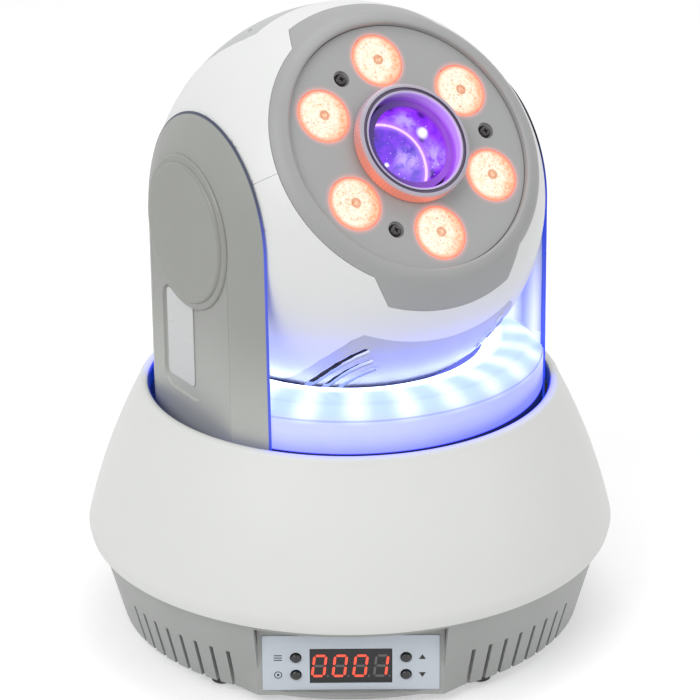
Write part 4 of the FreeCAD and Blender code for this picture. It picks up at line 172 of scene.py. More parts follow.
class Tree:
    """The node tree of one finish."""

    def __init__(self, name: str) -> None:
        """Start an empty material."""
        self.material = bpy.data.materials.new(name)
        self.material.use_nodes = True
        self.nodes = self.material.node_tree
        self.nodes.nodes.clear()

    @classmethod
    def inside(cls, nodes: bpy.types.NodeTree) -> "Tree":
        """Work in the emptied tree of something else, such as the world."""
        tree = cls.__new__(cls)
        tree.nodes = nodes
        nodes.nodes.clear()
        return tree

    def node(self, kind: str, settings: dict | None = None, inputs: dict | None = None) -> bpy.types.Node:
        """Add any node.

        Args:
            kind: The node's type.
            settings: Properties that are set first.
            inputs: Values or links by socket name or index.

        Returns:
            The node.
        """
        made = self.nodes.nodes.new(kind)
        for key, setting in (settings or {}).items():
            setattr(made, key, setting)
        for key, value in (inputs or {}).items():
            self.feed(made.inputs[key], value)
        return made

    def feed(self, socket: Socket, value: object) -> None:
        """Link or set one input.

        Args:
            socket: The input.
            value: A value, a socket, a number or a colour.
        """
        if isinstance(value, Value):
            value = value.socket
        if isinstance(value, Socket):
            self.nodes.links.new(value, socket)
        elif socket.type == "RGBA" and len(value) == 3:
            socket.default_value = (*value, 1.0)
        else:
            socket.default_value = value

    def math(self, operation: str, *operands: "float | Value", clamp: bool = False) -> Value:
        """Add a Math node and wrap its result."""
        made = self.node("ShaderNodeMath", {"operation": operation, "use_clamp": clamp},
                         dict(enumerate(operands)))
        return Value(self, made.outputs[0])

    def millimetres(self, place: Place) -> Socket:
        """Object coordinates turned into a sub-assembly's frame, in millimetres.

        Args:
            place: The sub-assembly's frame.

        Returns:
            The coordinates.
        """
        source = self.node("ShaderNodeTexCoord").outputs["Object"]
        matrix = place.matrix()
        turn = matrix.to_euler()
        shift = matrix.to_translation() * MM
        local = self.node("ShaderNodeMapping", {"vector_type": "TEXTURE"},
                          {"Vector": source, "Location": tuple(shift), "Rotation": tuple(turn),
                           "Scale": (MM, MM, MM)})
        return local.outputs["Vector"]

    def parts(self, vector: Socket) -> tuple[Value, Value, Value]:
        """The three components of a vector."""
        split = self.node("ShaderNodeSeparateXYZ", None, {"Vector": vector})
        return tuple(Value(self, split.outputs[axis]) for axis in range(3))

    def noise(self, vector: Socket, size: float, detail: float = 2.0,
              roughness: float = 0.5) -> Value:
        """Noise whose features measure about size millimetres."""
        made = self.node("ShaderNodeTexNoise", None,
                         {"Vector": vector, "Scale": 1.0 / size, "Detail": detail, "Roughness": roughness})
        return Value(self, made.outputs["Fac"])

    def cells(self, vector: Socket, size: float) -> Value:
        """Distance to the nearest of points scattered size millimetres apart."""
        made = self.node("ShaderNodeTexVoronoi", {"feature": "F1"}, {"Vector": vector, "Scale": 1.0 / size})
        return Value(self, made.outputs["Distance"])

    def shards(self, vector: Socket, size: float) -> Value:
        """A random share for each of the cells that lie size millimetres apart."""
        made = self.node("ShaderNodeTexVoronoi", None, {"Vector": vector, "Scale": 1.0 / size})
        split = self.node("ShaderNodeSeparateColor", None, {"Color": made.outputs["Color"]})
        return Value(self, split.outputs[0])

    def blend(self, share: "float | Value", first: object, second: object) -> Socket:
        """Mix two colours."""
        made = self.node("ShaderNodeMix", {"data_type": "RGBA"}, {0: share, 6: first, 7: second})
        return made.outputs[2]

    def relief(self, height: Value, depth: float) -> Socket:
        """Bump from a height of 0 to 1 that stands for depth millimetres."""
        made = self.node("ShaderNodeBump", None,
                         {"Height": height, "Distance": depth * MM, "Strength": 1.0})
        return made.outputs["Normal"]

    def surface(self, **sockets: object) -> bpy.types.Material:
        """End in a Principled shader.

        Args:
            sockets: Its inputs, with underscores for spaces.

        Returns:
            The finished material.
        """
        shader = self.node("ShaderNodeBsdfPrincipled", None,
                           {key.replace("_", " "): value for key, value in sockets.items()})
        self.node("ShaderNodeOutputMaterial", None, {"Surface": shader.outputs[0]})
        self.material.use_backface_culling = False
        log.debug("material %s", self.material.name)
        return self.material


@dataclass(frozen=True)
class Moulding:
    """Moulded plastic with a spark-eroded grain and slight clouding of its colour."""

    name: str
    colour: Colour
    roughness: float = 0.42
    grain: float = 0.5
    depth: float = 0.012
    clouding: float = 0.03
    coat: float = 0.0
    place: Place = Place.BASE

    def lit(self, tree: Tree, where: Socket, base: Socket) -> Sockets:
        """Further sockets of the shader, such as a glow that falls on the piece.

        Args:
            tree: The finish's tree.
            where: Place on the piece in millimetres.
            base: The plain base colour.

        Returns:
            Socket names and what feeds them; none for a plain moulding.
        """
        return {}

    def glow(self, tree: Tree, share: Value, colour: object, dark: object = UNLIT) -> Sockets:
        """Sockets for light that is painted on a share of the piece."""
        return {"Emission_Color": tree.blend(share, dark, colour), "Emission_Strength": 1.0}

    def make(self) -> bpy.types.Material:
        """Build the material."""
        tree = Tree(self.name)
        where = tree.millimetres(self.place)
        cloud = tree.noise(where, 28.0, 3.0)
        grain = tree.noise(where, self.grain, 3.0, 0.6)
        scuff = tree.noise(where, 6.0, 5.0, 0.65)
        dark = tuple(channel * (1.0 - 2.0 * self.clouding) for channel in self.colour)
        light = tuple(min(1.0, channel * (1.0 + self.clouding)) for channel in self.colour)
        rough = self.roughness + (scuff - 0.5) * 0.16 + (grain - 0.5) * 0.1
        base = tree.blend((cloud * 0.8 + grain * 0.2).within(), dark, light)
        sockets = {"Base_Color": base, "Roughness": rough, "Normal": tree.relief(grain, self.depth),
                   "Coat_Weight": self.coat, "Coat_Roughness": 0.22}
        sockets.update(self.lit(tree, where, base))
        return tree.surface(**sockets)


@dataclass(frozen=True)
class RimMoulding(Moulding):
    """White shell whose opening is painted deep navy as shade, with the ring's blue light painted over it."""

    inner_radius: float = 78.1
    navy_shade: Colour = (0.010, 0.014, 0.11)
    blue_glow: Colour = (0.003, 0.018, 0.20)
    blur: float = 0.25

    def lit(self, tree: Tree, where: Socket, base: Socket) -> Sockets:
        """Painted navy shade and painted blue ring light inside the opening."""
        x, y, _ = tree.parts(where)
        inside = x.reach(y).rise(self.inner_radius + self.blur, self.inner_radius - self.blur)
        # Painted shade and light: a navy base colour and a blue glow inside the opening.
        return {"Base_Color": tree.blend(inside, base, self.navy_shade), **self.glow(tree, inside, self.blue_glow)}


@dataclass(frozen=True)
class VentedMoulding(Moulding):
    """Rear cover whose inner walls, in the slots of its lower wing, have the ring's blue light painted on
    them.
    """

    skin_radius: float = 73.85
    deep: Colour = (0.22, 0.30, 0.85)
    pale: Colour = (0.42, 0.46, 0.80)
    blur: float = 0.35
    wing_y: Point = (-20.0, -40.0)
    wing_z: Point = (-30.0, -10.0)
    paling_z: Point = (4.0, 20.0)

    def lit(self, tree: Tree, where: Socket, base: Socket) -> Sockets:
        """Painted blue ring light on what lies under the skin of the lower wing."""
        x, y, z = tree.parts(where)
        depth = (x * x + y * y + z * z).root()
        under = depth.rise(self.skin_radius, self.skin_radius - self.blur)
        share = under * y.rise(*self.wing_y) * z.rise(*self.wing_z)
        # Painted light: the ring's blue glow on the slot walls, paler higher up.
        return self.glow(tree, share, tree.blend(z.rise(*self.paling_z), self.deep, self.pale))


@dataclass(frozen=True)
class DishMoulding(Moulding):
    """Dark dish under the head that catches the ring's light, most of all on one side."""

    dim: Colour = (0.008, 0.012, 0.10)
    strong: Colour = (0.12, 0.14, 0.66)
    growth_x: Point = (-30.0, 35.0)

    def lit(self, tree: Tree, where: Socket, base: Socket) -> Sockets:
        """Blue light that grows to the right."""
        x, _, _ = tree.parts(where)
        return self.glow(tree, x.rise(*self.growth_x), self.strong, self.dim)


@dataclass(frozen=True)
class FaceMoulding(Moulding):
    """Face plate with a red bloom round each lit lens."""

    bloom: Colour = (0.42, 0.06, 0.035)
    spread: float = 2.6
    overlap: float = 0.3
    falloff: float = 1.5

    def lit(self, tree: Tree, where: Socket, base: Socket) -> Sockets:
        """Red light round the lenses."""
        x, y, _ = tree.parts(where)
        nearest: Value | None = None
        for angle in LENS_ANGLES:
            turn = math.radians(angle)
            away = (x - LENS_CIRCLE * math.cos(turn)).reach(y - LENS_CIRCLE * math.sin(turn))
            nearest = away if nearest is None else nearest.smaller(away)
        share = nearest.rise(LENS_RADIUS + self.spread, LENS_RADIUS - self.overlap) ** self.falloff
        return self.glow(tree, share, self.bloom)


@dataclass(frozen=True)
class LinerMoulding(Moulding):
    """Arm liner in the ring's light: bands of white, blue and lilac that fade upwards."""

    fade_z: Point = (178.0, 112.0)
    skin_x: Point = (62.4, 62.0)
    band_rate: float = 0.42
    band_share: float = 0.8
    bright: Colour = (0.58, 0.62, 0.80)
    blue: Colour = (0.03, 0.05, 0.55)

    def lit(self, tree: Tree, where: Socket, base: Socket) -> Sockets:
        """Blue-white light in upright bands, on the side that faces the head."""
        x, y, z = tree.parts(where)
        band = (y * self.band_rate).cosine() * 0.5 + 0.5
        colour = tree.blend(band * self.band_share, self.bright, self.blue)
        return self.glow(tree, z.rise(*self.fade_z) * abs(x).rise(*self.skin_x), colour)


@dataclass(frozen=True)
class ArmMoulding(Moulding):
    """Arm casing with painted shadow and painted blue ring light on its inner rim, and a foot painted paler
    as light thrown up from the white rim.
    """

    rim_x: Point = (62.05, 61.8)
    foot_z: Point = (150.0, 98.0)
    fade_z: Point = (192.0, 165.0)
    bounce_paling: float = 1.4
    shadow: Colour = (0.05, 0.06, 0.11)
    blue: Colour = (0.02, 0.05, 0.60)

    def lit(self, tree: Tree, where: Socket, base: Socket) -> Sockets:
        """Painted shadow and blue ring light on the rim, and painted bounce light on the foot."""
        x, _, z = tree.parts(where)
        # Painted bounce light: the foot is lighter than the casing's own colour.
        pale = tuple(min(1.0, channel * self.bounce_paling) for channel in self.colour)
        rim = abs(x).rise(*self.rim_x)
        colour = tree.blend(z.rise(*self.foot_z), base, pale)
        return {"Base_Color": tree.blend(rim, colour, self.shadow),
                **self.glow(tree, rim * z.rise(*self.fade_z), self.blue)}


def beam_side(x: Value, y: Value) -> Value:
    """Distance towards the lower right of the face, where the violet beam is brightest."""
    return x * 0.9 - y * 0.35


@dataclass(frozen=True)
class FocusMoulding(Moulding):
    """Focus ring between the warm lenses and the violet beam, with their light painted on it and shade
    painted in its groove.
    """

    bore: Point = (19.05, 18.75)
    beam: Point = (-14.0, 17.0)
    grip: Point = (21.2, 21.8)
    grip_z: Point = (58.1, 57.0)
    dip_start: Point = (19.2, 19.35)
    dip_end: Point = (20.6, 20.45)
    dip_z: Point = (57.9, 57.7)
    shadow: Colour = (0.05, 0.02, 0.18)
    violet: Colour = (0.26, 0.055, 0.58)
    warm: Colour = (0.55, 0.12, 0.06)
    pink: Colour = (0.20, 0.06, 0.10)
    ground: Colour = (0.26, 0.15, 0.14)
    groove_shade: Colour = (0.10, 0.07, 0.14)

    def lit(self, tree: Tree, where: Socket, base: Socket) -> Sockets:
        """Painted light: violet in the bore, salmon on the lower left of the grip and pink above; painted
        shade in the groove.
        """
        x, y, z = tree.parts(where)
        span = x.reach(y)
        inside = span.rise(*self.bore)
        violet = tree.blend(beam_side(x, y).rise(*self.beam), self.shadow, self.violet)
        grip = (span.rise(*self.grip) * z.rise(*self.grip_z)).within()
        side = ((x * -0.75 - y * 0.65) / span).rise(0.1, 0.9)
        above = (y / span).rise(0.5, 1.0)
        glow = tree.blend(grip * side, UNLIT, self.warm)
        glow = tree.blend(grip * above, glow, self.pink)
        # Painted lens light warms the grip's own colour on its lower left.
        colour = tree.blend(grip * side, base, self.ground)
        # Painted shade darkens the groove in the ring's front.
        dip = span.rise(*self.dip_start) * span.rise(*self.dip_end) * z.rise(*self.dip_z)
        return {"Base_Color": tree.blend(dip, colour, self.groove_shade), **self.glow(tree, inside, violet, glow)}


@dataclass(frozen=True)
class Metal:
    """Turned, drawn or plated metal with fine lines along one axis."""

    name: str
    colour: Colour
    roughness: float = 0.3
    line: float = 0.25
    stretch: float = 30.0
    place: Place = Place.BASE

    def make(self) -> bpy.types.Material:
        """Build the material."""
        tree = Tree(self.name)
        where = tree.millimetres(self.place)
        squeeze = (1.0, 1.0 / self.stretch, 1.0)
        squeezed = tree.node("ShaderNodeMapping", None, {"Vector": where, "Scale": squeeze})
        lines = tree.noise(squeezed.outputs[0], self.line, 2.0)
        stain = tree.noise(where, 9.0, 4.0)
        dull = tuple(channel * 0.8 for channel in self.colour)
        return tree.surface(Base_Color=tree.blend(stain, self.colour, dull), Metallic=1.0,
                            Roughness=self.roughness + (lines - 0.5) * 0.2, Normal=tree.relief(lines, 0.006))


@dataclass(frozen=True)
class Rubber:
    """Matt black rubber with a dusty bloom."""

    name: str
    colour: Colour = (0.035, 0.035, 0.036)

    def make(self) -> bpy.types.Material:
        """Build the material."""
        tree = Tree(self.name)
        where = tree.millimetres(Place.BASE)
        dust = tree.noise(where, 2.5, 4.0, 0.7)
        bloom = tuple(channel + 0.05 for channel in self.colour)
        return tree.surface(Base_Color=tree.blend(dust, self.colour, bloom), Roughness=0.62 + dust * 0.25,
                            Normal=tree.relief(tree.noise(where, 0.4), 0.02))


@dataclass(frozen=True)
class RingGlow:
    """Milky diffuser lit from inside by strong blue light, with bright spots along its upper band and shade
    painted along its steps.
    """

    name: str = "ring_glow"
    spots: int = 24
    band_low: float = 106.5
    band_high: float = 111.5
    strength: float = 4.5
    lift_z: Point = (92.0, 106.0)
    fall_x: Point = (-55.0, 70.0)
    inward: Point = (60.0, 54.0)
    foot_z: Point = (96.5, 95.9)
    shaded_steps: tuple[Point, ...] = ((108.7, 0.5), (113.0, 0.08))
    foot: Colour = (0.0, 0.001, 0.010)
    low: Colour = (0.050, 0.057, 1.0)
    skirt: Colour = (0.125, 0.138, 1.0)
    bright: Colour = (0.125, 0.170, 0.95)
    spot: Colour = (0.32, 0.35, 0.80)
    brim: Colour = (0.60, 0.70, 1.0)

    def make(self) -> bpy.types.Material:
        """Build the material."""
        tree = Tree(self.name)
        where = tree.millimetres(Place.YOKE)
        x, y, z = tree.parts(where)
        angle = tree.math("ARCTAN2", y, x)
        beat = ((angle * float(self.spots)).cosine() * 0.5 + 0.5) ** 1.6
        band = z.rise(self.band_low, self.band_high)
        mottle = tree.noise(where, 20.0, 2.0)
        lift = (z.rise(*self.lift_z) * 0.85 - x.rise(*self.fall_x) * 0.75 + mottle * 0.3).within()
        glow = tree.blend(lift, self.low, self.skirt)
        glow = tree.blend((band * (0.7 + 0.5 * mottle)).within(), glow, self.bright)
        inward = x.reach(y).rise(*self.inward)
        glow = tree.blend(inward * (0.6 + 0.5 * mottle), glow, self.brim)
        glow = tree.blend((band * beat * mottle).within(), glow, self.spot)
        # Painted shade: thin darker lines along the ring's steps.
        for height, share in self.shaded_steps:
            glow = tree.blend((1.0 - abs(z - height).rise(0.1, 0.4)) * share, glow, self.low)
        glow = tree.blend(z.rise(*self.foot_z), glow, self.foot)
        return tree.surface(Base_Color=(0.05, 0.05, 0.08), Roughness=0.32, Emission_Color=glow,
                            Emission_Strength=self.strength,
                            Normal=tree.relief(tree.noise(where, 0.8), 0.008))


@dataclass(frozen=True)
class LensGlow:
    """Pebbled moulded lens lit warm white, with orange facets, a red-orange edge and a dim centre."""

    name: str = "wash_lens_glow"
    strength: float = 2.5
    facet_size: float = 0.9
    speck_size: float = 0.45
    dim_centre: Point = (0.23, 0.17)
    lit_pip: Point = (0.12, 0.05)
    red_edge: Point = (0.80, 0.99)
    centre: Colour = (0.26, 0.10, 0.04)
    cream: Colour = (0.44, 0.35, 0.26)
    pale: Colour = (0.46, 0.41, 0.36)
    peach: Colour = (0.50, 0.27, 0.17)
    orange: Colour = (0.62, 0.17, 0.08)
    fleck: Colour = (0.20, 0.11, 0.05)
    edge: Colour = (1.0, 0.125, 0.07)

    def make(self) -> bpy.types.Material:
        """Build the material."""
        tree = Tree(self.name)
        where = tree.millimetres(Place.HEAD)
        dial = tree.node("ShaderNodeUVMap", {"uv_map": "dial"}).outputs["UV"]
        u, v, _ = tree.parts(dial)
        radius = (u - 0.5).reach(v - 0.5) * 2.0
        pebble = tree.cells(where, self.facet_size)
        facet = tree.shards(where, self.facet_size)
        speck = tree.shards(where, self.speck_size)
        patch = tree.noise(where, 3.0, 2.0)
        side = ((u * 0.95 - v * 0.3 + patch * 0.3).rise(0.42, 0.80) * radius.rise(0.40, 0.8)).within()
        lit = tree.blend(facet, self.cream, self.pale)
        lit = tree.blend((facet + patch - 0.5).rise(0.62, 0.85) * 0.7, lit, self.peach)
        lit = tree.blend((side * (0.45 + facet * 0.75)).within(), lit, self.orange)
        lit = tree.blend(speck.rise(0.90, 0.93) * (0.35 + 0.5 * facet), lit, self.fleck)
        lit = tree.blend(radius.rise(*self.dim_centre) * (0.75 + 0.25 * facet), lit, self.centre)
        lit = tree.blend(radius.rise(*self.lit_pip) * speck.rise(0.3, 0.7), lit, self.peach)
        lit = tree.blend(radius.rise(*self.red_edge), lit, self.edge)
        return tree.surface(Base_Color=(0.10, 0.06, 0.05), Roughness=0.16, Emission_Color=lit,
                            Emission_Strength=self.strength, Coat_Weight=0.3, Coat_Roughness=0.05,
                            Normal=tree.relief(pebble, 0.2))


@dataclass(frozen=True)
class VioletGlass:
    """Domed centre lens over a violet beam: a pink arc, a bright side and a deep side, painted highlights as
    glints, and notches.
    """

    name: str = "violet_lens"
    strength: float = 2.5
    deep: Colour = (0.030, 0.002, 0.25)
    inner: Colour = (0.086, 0.006, 0.36)
    outer: Colour = (0.14, 0.020, 0.42)
    milky: Colour = (0.20, 0.13, 0.46)
    arc: Colour = (0.42, 0.26, 0.44)
    halo: Colour = (0.25, 0.10, 0.50)
    glint: Colour = (0.42, 0.42, 0.46)
    shade: Colour = (0.012, 0.002, 0.085)
    arc_middle: Point = (-12.7, -6.2)
    arc_radius: float = 16.9
    glints: tuple[Triple, ...] = (
        (8.3, 4.3, 1.5), (7.2, 3.6, 2.0), (-13.6, -5.8, 1.1),
        (-11.2, -5.2, 0.8), (-9.0, -12.2, 0.9), (-2.6, -15.1, 0.5))
    shades: tuple[Triple, ...] = (
        (-12.9, 7.0, 3.0), (-15.7, 2.2, 2.2), (5.9, 1.2, 1.3), (-1.2, 16.0, 1.7),
        (9.7, -13.3, 1.9), (5.6, -11.8, 1.9), (10.5, 11.0, 1.6))
    clouds: tuple[Triple, ...] = (
        (-2.8, -5.1, 4.5), (9.9, -5.2, 5.0), (5.3, -15.9, 1.7), (2.0, 9.0, 4.0))

    def make(self) -> bpy.types.Material:
        """Build the material."""
        tree = Tree(self.name)
        where = tree.millimetres(Place.HEAD)
        x, y, _ = tree.parts(where)

        def near(spot_x: float, spot_y: float, reach: float) -> Value:
            """Soft share round a spot."""
            away = (x - spot_x).reach(y - spot_y)
            return 1.0 - away.rise(reach * 0.35, reach * 1.5)

        cloud = tree.noise(where, 4.0, 4.0, 0.6)
        span = (x - self.arc_middle[0]).reach(y - self.arc_middle[1]) - self.arc_radius
        inside = tree.blend(cloud.rise(0.35, 0.65), self.deep, self.inner)
        outside = tree.blend(cloud.rise(0.30, 0.70), self.inner, self.outer)
        glow = tree.blend(span.rise(-0.8, 0.8), inside, outside)
        for spot in self.clouds:
            glow = tree.blend(near(*spot) * cloud.rise(0.3, 0.6), glow, self.milky)
        for spot in self.shades:
            glow = tree.blend(near(*spot) * 0.85, glow, self.shade)
        glow = tree.blend((1.0 - abs(span).rise(0.3, 2.6)) * 0.5, glow, self.halo)
        glow = tree.blend(1.0 - abs(span).rise(0.25, 0.8), glow, self.arc)
        # Painted highlights: fine glints over the lens, then larger ones at the listed spots.
        spark = 1.0 - tree.cells(where, 1.9).rise(0.06, 0.16)
        glow = tree.blend(spark * cloud.rise(0.42, 0.6), glow, self.glint)
        for spot in self.glints:
            glow = tree.blend(near(*spot), glow, self.glint)
        return tree.surface(Base_Color=(0.02, 0.01, 0.05), Roughness=0.1, Emission_Color=glow,
                            Emission_Strength=self.strength, Coat_Weight=0.5, Coat_Roughness=0.04)


@dataclass(frozen=True)
class VioletTube:
    """Dark moulding that catches the violet beam, brightest on its lower right."""

    name: str = "violet_tube"
    deep: Colour = (0.02, 0.004, 0.12)
    lit: Colour = (0.34, 0.06, 0.80)
    beam: Point = (-13.0, 17.0)

    def make(self) -> bpy.types.Material:
        """Build the material."""
        tree = Tree(self.name)
        where = tree.millimetres(Place.HEAD)
        x, y, _ = tree.parts(where)
        cloud = tree.noise(where, 5.0, 3.0)
        share = (beam_side(x, y).rise(*self.beam) * (0.7 + cloud * 0.5)).within()
        return tree.surface(Base_Color=(0.05, 0.025, 0.10), Roughness=0.4,
                            Emission_Color=tree.blend(share, self.deep, self.lit), Emission_Strength=0.8,
                            Normal=tree.relief(tree.noise(where, 0.5), 0.006))


@dataclass(frozen=True)
class Lamp:
    """A plain lit or unlit printed mark, such as a display segment."""

    name: str
    colour: Colour
    glow: Colour = UNLIT
    strength: float = 0.0

    def make(self) -> bpy.types.Material:
        """Build the material."""
        tree = Tree(self.name)
        where = tree.millimetres(Place.BASE)
        film = tree.noise(where, 1.2, 2.0)
        dim = tuple(channel * 0.85 for channel in self.colour)
        return tree.surface(Base_Color=tree.blend(film, self.colour, dim), Roughness=0.35 + film * 0.1,
                            Emission_Color=self.glow, Emission_Strength=self.strength)


@dataclass(frozen=True)
class ClearGlass:
    """Thin clear glass."""

    name: str
    colour: Colour = (0.9, 0.92, 0.98)

    def make(self) -> bpy.types.Material:
        """Build the material."""
        tree = Tree(self.name)
        smear = tree.noise(tree.millimetres(Place.HEAD), 5.0, 4.0)
        return tree.surface(Base_Color=self.colour, Roughness=0.02 + smear * 0.06, Transmission_Weight=0.85)


Finish = Moulding | Metal | Rubber | RingGlow | LensGlow | VioletGlass | VioletTube | Lamp | ClearGlass


class Finishes:
    """Every finish of the light, each made once."""

    def __init__(self) -> None:
        """Start with no material made."""
        self._made: dict[str, bpy.types.Material] = {}

    def get(self, finish: Finish) -> bpy.types.Material:
        """The finish's material, built at its first use."""
        if finish.name not in self._made:
            self._made[finish.name] = finish.make()
        return self._made[finish.name]


FINISHES = Finishes()
WHITE_BASE = RimMoulding("white_shell", (0.79, 0.80, 0.78), 0.48, 0.45, 0.010, 0.02)
WHITE_HEAD = Moulding("white_head", (0.80, 0.81, 0.80), 0.40, 0.45, 0.008, 0.02, 0.05, Place.HEAD)
GREY_BASE = Moulding("grey_skirt", (0.42, 0.43, 0.42), 0.5, 0.40, 0.016, 0.05)
GREY_HEAD = Moulding("grey_head", (0.378, 0.383, 0.38), 0.46, 0.40, 0.014, 0.04, 0.0, Place.HEAD)
COVER_GREY = VentedMoulding("grey_cover", (0.52, 0.53, 0.525), 0.44, 0.40, 0.014, 0.04, 0.0, Place.HEAD)
FACE_GREY = FaceMoulding("face_grey", (0.392, 0.395, 0.396), 0.48, 0.35, 0.022, 0.04, 0.0, Place.HEAD)
ARM_GREY = ArmMoulding("arm_grey", (0.345, 0.353, 0.333), 0.44, 0.45, 0.012, 0.04, 0.0, Place.YOKE)
CAP_GREY = Moulding("cap_grey", (0.305, 0.313, 0.29), 0.36, 0.45, 0.010, 0.04, 0.1, Place.YOKE)
LINER_GREY = LinerMoulding("liner_grey", (0.40, 0.405, 0.395), 0.40, 0.45, 0.012, 0.04, 0.1, Place.YOKE)
BLACK_MOULD = Moulding("black_moulding", (0.02, 0.02, 0.022), 0.4, 0.4, 0.012, 0.1)
TRAY_NAVY = DishMoulding("dark_tray", (0.02, 0.025, 0.06), 0.4, 0.4, 0.012, 0.1, 0.0, Place.YOKE,
                         (0.003, 0.016, 0.20), (0.002, 0.008, 0.10))
NAVY_DISH = DishMoulding("dark_dish", (0.03, 0.035, 0.09), 0.3, 0.6, 0.008, 0.1, 0.3, Place.YOKE)
BLANK_PLATE = Moulding("bare_nameplate", (0.60, 0.605, 0.61), 0.3, 0.7, 0.004, 0.02, 0.4, Place.YOKE)
SILVER_FILM = Moulding("silver_label", (0.65, 0.71, 0.78), 0.3, 0.3, 0.006, 0.05, 0.3)
CIRCUIT_GREEN = Moulding("green_board", (0.03, 0.16, 0.07), 0.35, 1.5, 0.03, 0.2, 0.4)
CIRCUIT_WHITE = Moulding("white_board", (0.75, 0.77, 0.8), 0.35, 1.5, 0.03, 0.05, 0.4)
STEEL = Metal("zinc_steel", (0.62, 0.63, 0.65), 0.36)
BRIGHT_STEEL = Metal("ground_steel", (0.72, 0.72, 0.74), 0.2)
DARK_STEEL = Metal("blackened_screw", (0.09, 0.085, 0.085), 0.32)
FOCUS_GREY = FocusMoulding("focus_grey", (0.45, 0.42, 0.50), 0.3, 0.4, 0.008, 0.05, 0.3, Place.HEAD)
BLACK_KEY = Moulding("black_key", (0.012, 0.012, 0.013), 0.22, 0.6, 0.004, 0.1, 0.5)
ALUMINIUM = Metal("turned_aluminium", (0.78, 0.79, 0.81), 0.28)
NICKEL = Metal("nickel_plate", (0.72, 0.71, 0.68), 0.22)
BRASS = Metal("brass_pins", (0.80, 0.62, 0.30), 0.25)
FOOT_RUBBER = Rubber("foot_rubber")
LED_FACE = Lamp("light_source", (0.9, 0.85, 0.55), (1.0, 0.75, 0.5), 0.6)


def arc_points(first: Point, middle: Point, last: Point, steps: int) -> list[Point]:
    """Points on the circle through three points.

    Args:
        first: Start of the arc.
        middle: Any point between.
        last: End of the arc.
        steps: Number of chords.

    Returns:
        The points after the first one, up to the last one.
    """
    (ax, ay), (bx, by), (cx, cy) = first, middle, last
    scale = 2.0 * (ax * (by - cy) + bx * (cy - ay) + cx * (ay - by))
    squares = [ax * ax + ay * ay, bx * bx + by * by, cx * cx + cy * cy]
    ux = (squares[0] * (by - cy) + squares[1] * (cy - ay) + squares[2] * (ay - by)) / scale
    uy = (squares[0] * (cx - bx) + squares[1] * (ax - cx) + squares[2] * (bx - ax)) / scale
    radius = math.hypot(ax - ux, ay - uy)
    begin = math.atan2(ay - uy, ax - ux)
    through = (math.atan2(by - uy, bx - ux) - begin) % math.tau
    sweep = (math.atan2(cy - uy, cx - ux) - begin) % math.tau
    if through > sweep:
        sweep -= math.tau
    turns = [begin + sweep * index / steps for index in range(1, steps + 1)]
    return [(ux + radius * math.cos(turn), uy + radius * math.sin(turn)) for turn in turns]


def bulge(first: Point, last: Point, rise: float) -> Point:
    """Middle of a chord moved to its left by rise.

    Args:
        first: Start of the chord.
        last: End of the chord.
        rise: How far the middle moves.

    Returns:
        The moved middle.
    """
    run, fall = last[0] - first[0], last[1] - first[1]
    length = math.hypot(run, fall)
    return (first[0] + last[0]) / 2 - fall / length * rise, (first[1] + last[1]) / 2 + run / length * rise


